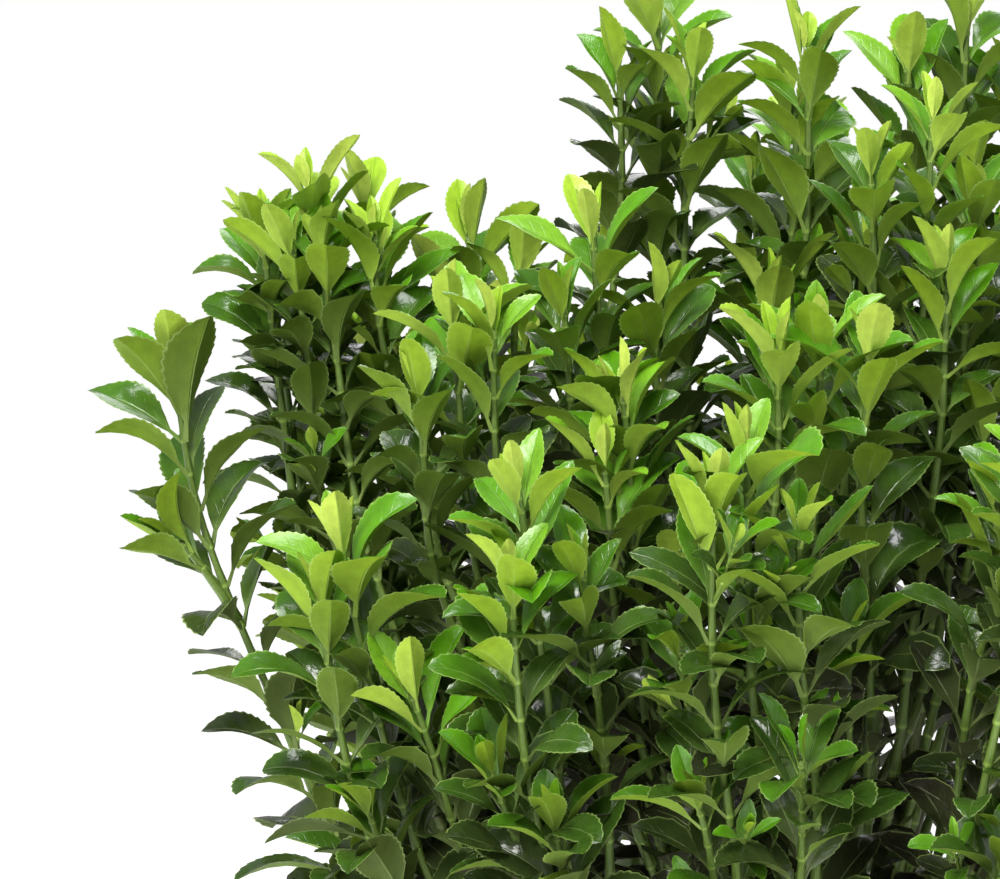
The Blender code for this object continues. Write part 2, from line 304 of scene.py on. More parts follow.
# Pot: its collar's foot and the heights of its cuts as shares of its height, then its roundings
COLLAR_FOOT = 0.81
COLLAR_CUT = 0.9
LOW_CUT = 0.25
MIDDLE_CUT = 0.5
CUT_EDGE = 0.004
MIDDLE_RADIUS = 0.0005
CAP_RADIUS = 0.004
FLOOR_GAP = 0.0003
FLOOR_ROUND = 0.006
WALL_FOOT = (0.002, 0.009)
INNER_LIP = 0.45
OUTER_LIP = 0.40
COLLAR_DRAFT = 0.0012
COLLAR_LOW = 0.006
COLLAR_ROUND = 0.004
COLLAR_NOTCH = 0.0004
WALL_TOP_GAP = 0.003
FOOT_ROUND = 0.0035
FOOT_EDGE = 0.005
FLOOR_STEP = 0.006
INSIDE_STEP = 0.005
RIM_STEP = 0.004
COLLAR_STEP = 0.0025
OUTSIDE_STEP = 0.0022
POT_SIDES = 128
RING_PITCH = 0.0052
RING_DRIFT = 0.35
RING_TWIST = 40.0
SWELL_DEPTH = 0.0004
SWELL_AROUND = 1.6
SWELL_ALONG = 22.0
INSIDE_RADIUS = 0.07
PLAIN_FOOT = 0.003
DRAINS = 4
DRAIN_RADIUS = 0.008
DRAIN_RING = 0.055
DRAIN_SIDES = 32

# Compost
SOIL_SIDES = 120
SOIL_RINGS = 44
SOIL_EDGE = 0.006
SOIL_MIDDLE = 0.06
SOIL_FALL = 0.065
SOIL_TOP_CUT = 0.012
SOIL_LOW_CUT = 0.004
SOIL_CLEARANCE = 0.0004
SOIL_SINK = 0.0012
LUMPS = ((55.0, 0.0016), (190.0, 0.0011))

# Crumbs and fibres: mostly small, uneven, flatter than wide, lying down and sunk in
SMALL_LUMP_POWER = 2.5
LUMP_UNEVENNESS = (0.75, 1.2)
LUMP_FLATNESS = 0.8
LUMP_TILT = 0.4
LUMP_RISE = 0.25
CRUMB_SIZES = (0.0007, 0.0028)
FIBRE_SIZES = (0.0009, 0.0024)
FIBRE_STRETCH = 3.0
CRUMBS_PER_FIBRE = 6

# Stage
WHITE = (1.0, 1.0, 1.0)
FLOOR_RADIUS = 60.0
FLOOR_DROP = 0.0005
FLOOR_SIDES = 64
FLOOR_GLOW = 0.76
FLOOR_TONES = ((0.84, 0.84, 0.84), (0.87, 0.87, 0.87))
CAMERA_REACH = 200.0
SENSOR_WIDTH = 36.0

# Soft lights, which point at the plant: place, width, the setting of their power, their share of it, colour
Lamp = namedtuple("Lamp", "place width setting share colour")
LAMP_AIM = (0.0, 0.0, 0.55)
LAMPS = {
    "key_light": Lamp((-1.0, -2.5, 2.7), 1.5, "key_power", 1.0, (1.0, 0.985, 0.96)),
    "fill_light": Lamp((2.3, -1.9, 1.5), 1.8, "fill_power", 0.6, WHITE),
    "low_light": Lamp((-2.2, -2.2, 0.9), 1.8, "fill_power", 1.0, WHITE),
    "top_light": Lamp((-0.2, -0.5, 3.2), 1.3, "top_power", 1.0, WHITE),
    "back_light": Lamp((0.4, 2.6, 2.2), 1.6, "fill_power", 1.0, WHITE),
}


def length_setting(name, description, default, **limits):
    return FloatProperty(name=name, description=description, default=default, subtype="DISTANCE", **limits)


def share_setting(name, description, default, most):
    return FloatProperty(
        name=name, description=description, default=default, min=0.0, max=most, subtype="FACTOR"
    )


def colour_setting(name, description, default):
    return FloatVectorProperty(name=name, description=description, default=default, subtype="COLOR")


def power_setting(name, description, default):
    return FloatProperty(name=name, description=description, default=default, subtype="POWER")


class EuonymusShoots(bpy.types.PropertyGroup):
    """How the shoots grow."""

    seed: IntProperty(name="Seed", description="Another seed grows another crown", default=7)
    spacing: length_setting("Spacing", "Between side shoots round a plume's leader", 0.034, min=0.02)
    side_radius: length_setting("Side Radius", "At the foot of a side shoot", 0.0026)
    tip_radius: length_setting("Tip Radius", "Just under a shoot's last leaves", 0.0014)
    twig_chance: share_setting("Twigs", "Share of the leaf axils that carry a short twig", 0.06, 1.0)


class EuonymusLeaves(bpy.types.PropertyGroup):
    """Size and finish of the leaves."""

    length: length_setting("Length", "Of a full-grown leaf with its stalk", 0.045)
    teeth: IntProperty(name="Teeth", description="On each side of a leaf", default=9, min=2, max=14)
    thickness: length_setting("Thickness", "Of the blade beside its rib", 0.0004)
    unevenness: share_setting("Unevenness", "How far leaves differ in angle and size", 1.0, 2.0)


class EuonymusBark(bpy.types.PropertyGroup):
    """Bark of the stems and boughs."""

    ridge_depth: length_setting("Ridge Depth", "Relief of the lengthwise ridges", 0.00045)
    ridge_colour: colour_setting("Ridges", "Weathered bark", (0.24, 0.20, 0.13))
    furrow_colour: colour_setting("Furrows", "Bark between the ridges", (0.075, 0.060, 0.034))
    young_colour: colour_setting("Young Bark", "Of the boughs", (0.118, 0.128, 0.050))


class EuonymusPot(bpy.types.PropertyGroup):
    """Finish of the clay pot."""

    clay_colour: colour_setting("Clay", "Fired clay", (0.43, 0.166, 0.077))
    bloom_colour: colour_setting("Bloom", "Pale salts on the clay", (0.58, 0.40, 0.295))
    ring_depth: length_setting("Ring Depth", "Of the throwing rings", 0.00022)


class EuonymusCompost(bpy.types.PropertyGroup):
    """The compost in the pot."""

    crumbs: IntProperty(name="Crumbs", description="Loose crumbs on top", default=1300, min=0)
    colour: colour_setting("Compost", "Moist compost", (0.040, 0.026, 0.017))
    chip_colour: colour_setting("Fibre", "Paler fibre in it", (0.115, 0.078, 0.048))


class EuonymusStage(bpy.types.PropertyGroup):
    """Camera, light and floor."""

    aim: FloatVectorProperty(
        name="Aim", description="Middle of the view", default=(-0.135, 0.0, 0.6455), unit="LENGTH"
    )
    distance: length_setting("Distance", "From the camera to that point", 2.5)
    elevation: FloatProperty(
        name="Elevation", description="How far it looks down", default=math.radians(3.0), subtype="ANGLE"
    )
    lens: FloatProperty(name="Lens", description="Focal length in millimetres", default=200.0)
    daylight: FloatProperty(name="Daylight", description="Strength of the white surroundings", default=0.32)
    key_power: power_setting("Key Light", "Large soft light", 106.0)
    top_power: power_setting("Top Light", "Soft light", 46.0)
    fill_power: power_setting("Fill Light", "Soft light", 14.0)


class Value:
    """A node's output that takes part in Python sums: each operator adds its Math node."""

    def __init__(self, finish, socket):
        self.finish = finish
        self.socket = socket

    def math(self, operation, *numbers):
        return self.finish.node("ShaderNodeMath", {"operation": operation}, dict(enumerate(numbers)))

    def __add__(self, other):
        return self.math("ADD", self, other)

    __radd__ = __add__

    def __sub__(self, other):
        return self.math("SUBTRACT", self, other)

    def __rsub__(self, other):
        return self.math("SUBTRACT", other, self)

    def __mul__(self, other):
        return self.math("MULTIPLY", self, other)

    __rmul__ = __mul__

    def __truediv__(self, other):
        return self.math("DIVIDE", self, other)

    def __rtruediv__(self, other):
        return self.math("DIVIDE", other, self)

    def __abs__(self):
        return self.math("ABSOLUTE", self)

    def fraction(self):
        return self.math("FRACT", self)

    def clear(self, start, end):
        """0 up to start, 1 from end on, with a soft step between."""
        settings = {"interpolation_type": "SMOOTHSTEP"}
        return self.finish.node("ShaderNodeMapRange", settings, {"Value": self, 1: start, 2: end})


class Finish:
    """A material and its nodes."""

    def __init__(self, name, roughness, specular=0.5):
        self.material = bpy.data.materials.new(name)
        self.material.use_nodes = True
        self.tree = self.material.node_tree
        self.shader = self.tree.nodes["Principled BSDF"]
        self.shader.inputs["Roughness"].default_value = roughness
        self.shader.inputs["Specular IOR Level"].default_value = specular

    def node(self, kind, settings, inputs, output=0):
        """Any node: its settings first, then the numbers or links of its sockets."""
        made = self.tree.nodes.new(kind)
        for name, setting in settings.items():
            setattr(made, name, setting)
        for socket, given in inputs.items():
            self.feed(made.inputs[socket], given)
        return Value(self, made.outputs[output])

    def feed(self, socket, given):
        if isinstance(given, Value):
            self.tree.links.new(given.socket, socket)
        elif socket.type == "RGBA":
            socket.default_value = (*given, 1.0)
        else:
            socket.default_value = given

    def drive(self, socket, given):
        """Feeds one of the shader's own sockets."""
        self.feed(self.shader.inputs[socket], given)

    def mix(self, share, first, second):
        """A colour between two others."""
        return self.node(
            "ShaderNodeMix", {"data_type": "RGBA"}, {0: share, 6: first, 7: second}, output=2
        )

    def part(self, point, axis):
        return self.node("ShaderNodeSeparateXYZ", {}, {0: point}, output=axis)

    def spot(self):
        """The point itself, in metres."""
        return self.node("ShaderNodeTexCoord", {}, {}, output=3)

    def stretched(self, point, stretch):
        return self.node("ShaderNodeVectorMath", {"operation": "MULTIPLY"}, {0: point, 1: stretch})

    def cloud(self, point, scale, detail=3.0, rough=0.55):
        """Soft noise from 0 to 1."""
        inputs = {"Vector": point, "Scale": scale, "Detail": detail, "Roughness": rough}
        return self.node("ShaderNodeTexNoise", {}, inputs)

    def raise_by(self, height, distance):
        """Relief that is too fine for the mesh."""
        self.drive("Normal", self.node("ShaderNodeBump", {}, {"Height": height, "Distance": distance}))


def unit(vector):
    return vector / np.linalg.norm(vector)


def distances(line):
    """How far along a line each of its points lies."""
    return np.concatenate([[0.0], np.cumsum(np.linalg.norm(np.diff(line, axis=0), axis=1))])


def looked_up(at, places, rows):
    """What a table says here, between its rows."""
    return np.array([np.interp(at, places, column) for column in rows.T])


def round_place(radius, turn, height):
    return radius * math.cos(turn), radius * math.sin(turn), height


def scaled(colour, factor):
    return tuple(factor * part for part in colour)


def blended(colour, other, share):
    return tuple(part + share * (aim - part) for part, aim in zip(colour, other))


def new_piece(name, mesh, materials, replaced):
    """A finished piece, which rides on the plant's one body and stands for CAD nodes."""
    for material in materials:
        mesh.materials.append(material)
    piece = bpy.data.objects.new(name, mesh)
    bpy.context.scene.collection.objects.link(piece)
    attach(piece, BODY)
    if replaced:
        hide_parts(*replaced)
    return piece


def new_mesh(name, points, faces):
    mesh = bpy.data.meshes.new(name)
    mesh.from_pydata(points, [], faces)
    mesh.shade_smooth()
    return mesh


def quads(rings, sides, first=0):
    """The faces between rings of points that follow one another."""
    made = []
    for i in range(rings - 1):
        for j in range(sides):
            a, b = first + i * sides + j, first + i * sides + (j + 1) % sides
            made.append((a, b, b + sides, a + sides))
    return made


def add_part(points, faces, part):
    """Adds one more part's points and faces to a mesh in the making."""
    start = len(points)
    points += part[0]
    faces += [tuple(start + corner for corner in face) for face in part[1]]


def add_map(mesh, name, corners):
    """A UV layer, from one row for each corner of each face."""
    layer = mesh.uv_layers.new(name=name)
    layer.data.foreach_set("uv", np.asarray(corners, np.float32).ravel())


class Section:
    """Horizontal cuts through a CAD node."""

    def __init__(self, node):
        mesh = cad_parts[node].data
        points = np.array([vertex.co for vertex in mesh.vertices])
        ends = points[np.array([edge.vertices[:] for edge in mesh.edges])]
        self.low, self.high = ends[:, 0], ends[:, 1]
        self.apex = points[points[:, 2].argmax()]

    def cut(self, height):
        """Where the node's edges cross this height, as sorted rows of x and y."""
        crosses = (self.low[:, 2] - height) * (self.high[:, 2] - height) < 0.0
        low, high = self.low[crosses], self.high[crosses]
        share = (height - low[:, 2]) / (high[:, 2] - low[:, 2])
        places = (low + share[:, None] * (high - low))[:, :2]
        return np.unique(np.round(places, CUT_DECIMALS), axis=0)


class Outline:
    """A foliage mass as its middle and its reach by bearing, level by level."""

    def __init__(self, node):
        section = Section(node)
        low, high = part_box(node)
        self.node = node
        self.plume = PLUMES.get(node, Plume())
        self.foot, self.top = low.z, high.z
        self.apex = section.apex
        self.levels = np.linspace(low.z + OUTLINE_EDGE, high.z - OUTLINE_EDGE, OUTLINE_LEVELS)
        self.bearings = np.linspace(-math.pi, math.pi, OUTLINE_BEARINGS, endpoint=False)
        self.middles = np.empty((OUTLINE_LEVELS, 2))
        self.reaches = np.empty((OUTLINE_LEVELS, OUTLINE_BEARINGS))
        for i, height in enumerate(self.levels):
            points = section.cut(height)
            self.middles[i] = (points.min(0) + points.max(0)) / 2
            offset = points - self.middles[i]
            bearing = np.arctan2(offset[:, 1], offset[:, 0])
            order = bearing.argsort()
            reach = np.hypot(offset[:, 0], offset[:, 1])
            self.reaches[i] = np.interp(self.bearings, bearing[order], reach[order], period=math.tau)

    def middle(self, height):
        return looked_up(height, self.levels, self.middles)

    def reach(self, height, bearing):
        """How far the mass reaches from its middle, this way at this height."""
        level = int(round(np.interp(height, self.levels, np.arange(OUTLINE_LEVELS))))
        return np.interp(bearing, self.bearings, self.reaches[level], period=math.tau)


class Canopy:
    """Leaf pairs counted on a grid, to see how much daylight reaches a place between them."""

    def __init__(self, places):
        margin = CELL * (CELLS_DEEP + 1)
        self.low = places.min(axis=0) - margin
        size = ((places.max(axis=0) + margin - self.low) / CELL).astype(int) + 1
        self.pairs = np.zeros(size)
        np.add.at(self.pairs, self.cells(places), 1.0)

    def cells(self, places):
        return tuple(((places - self.low) / CELL).astype(int).T)

    def passed(self, places, way):
        """How many leaf pairs lie on the way from each place to the sky."""
        return sum(self.pairs[self.cells(places + way * CELL * step)] for step in range(1, CELLS_DEEP))

    def daylight(self, places):
        """The share of the sky that gets through to each place."""
        seen = []
        for elevation, count in SKY_WAYS:
            rise = math.radians(elevation)
            for i in range(count):
                turn = math.tau * i / count
                way = np.array(round_place(math.cos(rise), turn, math.sin(rise)))
                seen.append(np.exp(-PAIR_SHADE * self.passed(places, way)))
        return np.mean(seen, axis=0)


def limb_line(node):
    """A CAD limb's centre line and its radius at each point."""
    section = Section(node)
    low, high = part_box(node)
    line, radii = [], []
    for height in np.linspace(low.z + LIMB_EDGE, high.z - LIMB_EDGE, LIMB_LEVELS):
        points = section.cut(height)
        middle = (points.min(0) + points.max(0)) / 2
        line.append((*middle, height))
        radii.append(np.linalg.norm(points - middle, axis=1).min() * ROUNDNESS_OF_CUT)
    return np.array(line), np.array(radii)


def smoothed(line, passes):
    """The same line with its bends eased and its ends kept."""
    line = line.copy()
    for _ in range(passes):
        line[1:-1] = (line[:-2] + 2.0 * line[1:-1] + line[2:]) / 4.0
    return line


def from_tip(table, number):
    """What a table says of this leaf pair. Its last row holds for all the pairs below."""
    return table[min(number, len(table) - 1)]


class Shoot:
    """A leafy shoot: its centre line from foot to tip, its radii, its vigour and where its leaves begin."""

    def __init__(self, line, foot_radius, tip_radius, vigour, turn, bare=0.0, order=0):
        self.line = line
        self.along = distances(line)
        self.length = self.along[-1]
        self.foot_radius = foot_radius
        self.tip_radius = tip_radius
        self.vigour = vigour
        self.turn = turn
        self.bare = bare
        self.order = order
        self.plume = Plume()

    def point(self, distance):
        return looked_up(distance, self.along, self.line)

    def heading(self, distance):
        ahead = self.point(min(distance + HEADING_STEP, self.length))
        return unit(ahead - self.point(max(distance - HEADING_STEP, 0.0)))

    def radius(self, distance):
        left = 1.0 - min(distance / self.length, 1.0)
        return self.tip_radius + (self.foot_radius - self.tip_radius) * left

    def side(self, distance, turn):
        """The direction out of the shoot at this bearing round it."""
        heading = self.heading(distance)
        first = unit(np.cross(heading, (0.0, 1.0, 0.0)))
        return math.cos(turn) * first + math.sin(turn) * np.cross(heading, first)

    def pairs(self):
        """Each leaf pair from the tip down: its number, its distance along the shoot and its turn."""
        reach = WEAK_GAP + (1.0 - WEAK_GAP) * self.vigour
        distance, number, turn = self.length, 0, self.turn
        while True:
            distance -= from_tip(PAIR_GAPS, number) * reach
            if distance < self.bare:
                return
            yield number, distance, turn
            number += 1
            turn += math.pi / 2


def wandering(line):
    """The line with a slow drift that leaves its foot in place."""
    drifted = []
    for i, point in enumerate(line):
        drift = [noise.noise(Vector(point) * WANDER_SCALE + offset) for offset in WANDER_OFFSETS]
        drifted.append(point + np.array((*drift, 0.0)) * WANDER * min(1.0, i / STEADY_POINTS))
    return np.array(drifted)


def grow_leader(outline, settings, rng):
    """A plume's own shoot, which runs on from its bough to just under the plume's top."""
    bough, radii = limb_line(outline.node.replace("leaves_", "bough_"))
    tip = outline.apex - np.array((0.0, 0.0, outline.plume.top_room))
    heights = np.arange(bough[-1][2] + PATH_STEP, tip[2] - PATH_STEP / 2, PATH_STEP)
    inside = [(*outline.middle(height), height) for height in heights]
    line = wandering(smoothed(np.array([bough[-2], bough[-1], *inside, tip]), LEADER_SMOOTHING))
    vigour = rng.uniform(*LEADER_VIGOUR)
    turn = rng.uniform(0.0, math.tau)
    return Shoot(line, radii[-1], settings.tip_radius, vigour, turn, bare=LEADER_BARE)


def grow_side(leader, outline, bearing, foot, tip, vigour, settings, rng):
    """A side shoot, which leaves its leader, bends up beside it and stays inside the plume."""
    heights = np.arange(foot, tip, PATH_STEP)
    way = np.array((math.cos(bearing), math.sin(bearing)))
    shoulder = outline.foot + SHOULDER * (outline.top - outline.foot)
    line = []
    for height in heights:
        middle = looked_up(height, leader.line[:, 2], leader.line[:, :2])
        risen = (height - foot) / (tip - foot)
        spread = LOW_LEAF_SPREAD + (TIP_LEAF_SPREAD - LOW_LEAF_SPREAD) * risen**2
        level = min(height, shoulder)
        room = outline.reach(level, bearing) + (outline.middle(level) - middle) @ way - spread
        turned = 1.0 - max(1.0 - (height - foot) / SIDE_TURN, 0.0) ** SIDE_POWER
        line.append((*(middle + way * max(room, LEAST_ROOM) * turned), height))
    line = wandering(smoothed(np.array(line), SIDE_SMOOTHING))
    turn = rng.uniform(0.0, math.tau)
    return Shoot(line, settings.side_radius, settings.tip_radius, vigour, turn, bare=SIDE_BARE)


def grow_low_shoots(leader, outline, settings, rng):
    """Two weaker shoots that stay low outside a plume, on the side away from the plant's middle."""
    shoots = []
    tall = outline.top - outline.foot
    outward = math.atan2(outline.apex[1], outline.apex[0])
    for side in (-1, 1):
        bearing = outward + side * rng.uniform(*LOW_BEARING)
        foot = outline.foot + tall * rng.uniform(*LOW_FOOT)
        tip = outline.foot + tall * rng.uniform(*LOW_TIP)
        if tip - foot > LEAST_LOW_LENGTH:
            vigour = rng.uniform(*LOW_VIGOUR)
            shoots.append(grow_side(leader, outline, bearing, foot, tip, vigour, settings, rng))
    return shoots


def grow_plume(outline, settings, rng):
    """A plume's leader and the side shoots round it."""
    plume = outline.plume
    leader = grow_leader(outline, settings, rng)
    shoots = [leader]
    tall = outline.top - outline.foot
    waist = outline.foot + WAIST * tall
    room = np.mean([outline.reach(waist, bearing) for bearing in outline.bearings]) - LOW_LEAF_SPREAD
    count = plume.sides or max(LEAST_SIDES, round(math.tau * room / settings.spacing))
    start = rng.uniform(0.0, math.tau)
    for i in range(count):
        bearing = start + math.tau * i / count + rng.uniform(-SIDE_SPREAD, SIDE_SPREAD)
        foot = outline.foot + tall * (plume.foot + SIDE_FOOT_SPAN * rng.random())
        tip = outline.foot + tall * (HIGHEST_SIDE_TIP - plume.tips * rng.random())
        vigour = rng.uniform(*SIDE_VIGOUR)
        shoots.append(grow_side(leader, outline, bearing, foot, tip, vigour, settings, rng))
    if plume.low_shoots:
        shoots += grow_low_shoots(leader, outline, settings, rng)
    for shoot in shoots:
        shoot.plume = plume
    return shoots


def twig_line(foot, out, heading, length):
    """A twig leaves its shoot outwards and turns up."""
    line = []
    for step in TWIG_STEPS:
        outward = TWIG_LEAN * step + TWIG_FLARE * step * step
        line.append(foot + out * length * outward + heading * length * step**TWIG_RISE_POWER)
    return np.array(line)


def grow_twigs(shoot, chance, rng):
    """Short twigs in the leaf axils, with a few small leaves each."""
    twigs = []
    for number, distance, turn in shoot.pairs():
        if number < YOUNGEST_TWIG_PAIR or rng.random() > chance:
            continue
        out = shoot.side(distance, turn + math.pi * rng.randint(0, 1))
        line = twig_line(shoot.point(distance), out, shoot.heading(distance), rng.uniform(*TWIG_LENGTHS))
        vigour = rng.uniform(*TWIG_VIGOUR)
        twigs.append(Shoot(line, TWIG_RADIUS, TWIG_TIP_RADIUS, vigour, turn, bare=TWIG_BARE, order=1))
    return twigs


def grow_crown(settings):
    """Every shoot and twig of the plant. The same seed gives the same crown."""
    shoots = []
    for number, node in enumerate(MASSES):
        rng = random.Random(settings.seed * SEEDS_APART + number)
        plume = grow_plume(Outline(node), settings, rng)
        shoots += plume
        for shoot in plume:
            shoots += grow_twigs(shoot, settings.twig_chance, rng)
    return shoots


Leaf = namedtuple("Leaf", "foot way above length breadth fold curl twist wave tint grade")


def pair_leaf(shoot, number, distance, turn, light, leaves, rng):
    """One leaf of a pair."""

    def stray(spread):
        return rng.gauss(0.0, spread) * leaves.unevenness

    heading = shoot.heading(distance)
    out = shoot.side(distance, turn + stray(STRAY.drift))
    angle = math.radians(from_tip(PAIR_ANGLES, number) + stray(STRAY.angle))
    way = math.cos(angle) * heading + math.sin(angle) * out
    above = math.sin(angle) * heading - math.cos(angle) * out
    across = np.cross(way, above)
    roll = stray(STRAY.roll)
    above = math.cos(roll) * above + math.sin(roll) * across
    vigour_size = WEAK_SIZE + VIGOUR_SIZE * shoot.vigour
    size = from_tip(PAIR_SIZES, number) * vigour_size * (1.0 + stray(STRAY.size))
    size *= TWIG_LEAF_SIZE if shoot.order else shoot.plume.leaf_size
    age = shoot.plume.age + AGE_PER_PAIR * min(number, OLDEST_PAIR) + WEAK_AGE * (1.0 - shoot.vigour)
    # Painted shade: little daylight adds age, which gives the leaf a darker tint.
    age += rng.gauss(0.0, AGE_SPREAD) + shoot.plume.shade * PAINTED_SHADE_AGE * max(1.0 - light / LIT_SHARE, 0.0)
    return Leaf(
        foot=shoot.point(distance) + out * shoot.radius(distance) * FOOT_DEPTH,
        way=way,
        above=above,
        length=leaves.length * size,
        breadth=from_tip(PAIR_BREADTHS, number) * (1.0 + stray(STRAY.breadth)),
        fold=math.radians(from_tip(PAIR_FOLDS, number) + stray(STRAY.fold)),
        curl=math.radians(from_tip(PAIR_CURLS, number) + stray(STRAY.curl)),
        twist=stray(STRAY.twist),
        wave=rng.uniform(0.0, math.tau),
        tint=next(i for i, tint in enumerate(TINTS) if age < tint.until),
        grade=next(i for i, grade in enumerate(GRADES) if light >= grade.light and i >= shoot.order),
    )


def leaf_out(shoots, leaves, seed):
    """All the leaves: a pair at each node of each shoot, with many fallen where little daylight comes."""
    pairs = [(i, shoot, *pair) for i, shoot in enumerate(shoots) for pair in shoot.pairs()]
    places = np.array([shoot.point(distance) for _, shoot, _, distance, _ in pairs])
    grown = []
    for (i, shoot, number, distance, turn), light in zip(pairs, Canopy(places).daylight(places)):
        rng = random.Random(f"{seed} {i} {number}")
        shaded = max(1.0 - light / LEAF_FALL_SHARE, 0.0)
        keep = 1.0 - LEAF_FALL * shaded - OLD_LEAF_FALL * max(number - FALL_STARTS, 0)
        for side in (0.0, math.pi):
            if rng.random() < keep:
                grown.append(pair_leaf(shoot, number, distance, turn + side, light, leaves, rng))
    return grown


def half_width(along):
    """Half the leaf's width at this share of its length, without its teeth."""
    share = (along - STALK_SHARE) / (1.0 - STALK_SHARE)
    if share <= 0.0:
        return STALK_HALF_WIDTH
    peak = BASE_POWER / (BASE_POWER + TIP_POWER)
    tallest = peak**BASE_POWER * (1.0 - peak) ** TIP_POWER
    blade = share**BASE_POWER * max(1.0 - share, 0.0) ** TIP_POWER / tallest
    return STALK_HALF_WIDTH * (1.0 - share) + (BLADE_HALF_WIDTH - STALK_HALF_WIDTH * (1.0 - peak)) * blade


def rib_depth(along):
    """How far the rib stands out under the blade."""
    if along < STALK_SHARE:
        return STALK_DEPTH
    share = (along - STALK_SHARE) / (1.0 - STALK_SHARE)
    return RIB_DEPTH + (RIB_TIP_DEPTH - RIB_DEPTH) * share


def margin_points(base, teeth):
    """The margin from the stalk's foot to just under the tip, as (along, across), with its teeth."""
    points = [(along, half_width(along)) for along in base]
    pitch = (TEETH_TO - TEETH_FROM) / max(teeth, 1)
    for i in range(teeth):
        crest = TEETH_FROM + pitch * (i + 1 - TOOTH_RETURN)
        notch = TEETH_FROM + pitch * (i + 1)
        points.append((crest, half_width(crest) + TOOTH_DEPTH))
        points.append((notch, half_width(notch)))
    return points


class LeafForm:
    """A flat leaf, one unit long: a closed, thin mesh of triangles, with each corner's place on the leaf."""

    def __init__(self, rib, base, teeth, quilted, thickness):
        self.points, self.places, self.quilt = [], [], []
        self.faces, self.under = [], []
        tip = self.add(0.0, 1.0, 0.0, 0.0)
        upper_rib = [self.add(0.0, along, thickness, 0.0) for along in rib] + [tip]
        lower_rib = [self.add(0.0, along, -rib_depth(along), 0.0) for along in rib] + [tip]
        edges = {}
        for side in (-1.0, 1.0):
            edge = margin_points(base, teeth)
            margin = [self.add(side * across, along, 0.0, side) for along, across in edge]
            edges[side] = margin[0]
            margin.append(tip)
            for ribs, height, under in ((upper_rib, thickness, False), (lower_rib, -thickness, True)):
                inner = list(ribs)
                if quilted:
                    blade = [along for along in rib if along > STALK_SHARE]
                    inner = ribs[: len(rib) - len(blade)]
                    for along in blade:
                        across = side * MIDWAY * half_width(along)
                        inner.append(self.add(across, along, height, side * MIDWAY, QUILTING))
                    inner.append(tip)
                    self.stitch(inner, ribs, side, under)
                self.stitch(margin, inner, side, under)
        self.face(edges[-1.0], upper_rib[0], edges[1.0], False, False)
        self.face(edges[-1.0], lower_rib[0], edges[1.0], True, True)
        self.points = np.array(self.points)
        self.places = np.array(self.places)
        self.quilt = np.array(self.quilt)
        self.faces = np.array(self.faces)
        self.under = np.array(self.under)

    def add(self, across, along, height, place, quilt=0.0):
        """A new point. place runs from -1 at the left margin to 1 at the right one."""
        self.points.append((across, along, height))
        self.places.append((place, along))
        self.quilt.append(quilt)
        return len(self.points) - 1

    def face(self, a, b, c, flip, under):
        if len({a, b, c}) == 3:
            self.faces.append((a, c, b) if flip else (a, b, c))
            self.under.append(under)

    def stitch(self, outer, inner, side, under):
        """Triangles between two rows of points that run from the foot to the tip."""
        flip = (side > 0.0) == under
        i, j = 0, 0
        while i < len(outer) - 1 or j < len(inner) - 1:
            outer_next = self.points[outer[i + 1]][1] if i < len(outer) - 1 else math.inf
            inner_next = self.points[inner[j + 1]][1] if j < len(inner) - 1 else math.inf
            if outer_next <= inner_next:
                self.face(outer[i], inner[j], outer[i + 1], not flip, under)
                i += 1
            else:
                self.face(outer[i], inner[j], inner[j + 1], not flip, under)
                j += 1


def bent_points(form, leaves):
    """The points of many leaves of one form: folded along the rib, curled, twisted and set in place."""

    def column(name):
        return np.array([getattr(leaf, name) for leaf in leaves])[:, None]

    across, along, height = form.points[:, 0], form.points[:, 1], form.points[:, 2]
    opened = np.clip((along - 0.5 * STALK_SHARE) / OPENING, 0.0, 1.0)
    fold = column("fold") * opened
    outward = across * column("breadth")
    sideways = outward * np.cos(fold)
    lift = np.abs(outward) * np.sin(fold) + height + form.quilt
    lift = lift + WAVE_DEPTH * outward * np.sin(math.tau * WAVES * along + column("wave"))
    curl = column("curl")
    forward, drop = np.zeros_like(sideways), np.zeros_like(sideways)
    for point, weight in CURL_STEPS:
        part = curl * (along * point) ** BEND_POWER
        forward += weight * np.cos(part) * along
        drop += weight * np.sin(part) * along
    turned = (curl * along**BEND_POWER)[..., None]
    way, above = column("way"), column("above")
    up = np.cos(turned) * above + np.sin(turned) * way
    beside = np.cross(way, above)
    twist = (column("twist") * along)[..., None]
    level = np.cos(twist) * beside + np.sin(twist) * up
    raised = np.cos(twist) * up - np.sin(twist) * beside
    rib = forward[..., None] * way - drop[..., None] * above
    bent = rib + sideways[..., None] * level + lift[..., None] * raised
    feet = column("foot")
    return kept_in_room(feet + bent * column("length")[..., None], feet)


def kept_in_room(points, feet):
    """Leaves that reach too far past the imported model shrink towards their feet."""
    low, high = np.array(CAD_BOX[0]) - OVERHANG, np.array(CAD_BOX[1]) + OVERHANG
    reach = points - feet
    room = np.where(reach > 0.0, high - feet, feet - low)
    share = np.min(room / np.maximum(np.abs(reach), LEAST_REACH), axis=(1, 2), keepdims=True)
    return feet + reach * np.minimum(share, 1.0)


def leaf_corners(form):
    """For each corner of each face: its place on the leaf, and in the bake, with one half for each side."""
    place = form.places[form.faces].reshape(-1, 2)
    across, along = (place[:, 0] + 1.0) / 2.0, place[:, 1]
    under = np.repeat(form.under, 3)
    half = BAKE_MARGIN + (0.5 - 2.0 * BAKE_MARGIN) * across + 0.5 * under
    tall = BAKE_MARGIN + (1.0 - 2.0 * BAKE_MARGIN) * along
    return np.stack([across, along], axis=1), np.stack([half, tall], axis=1)


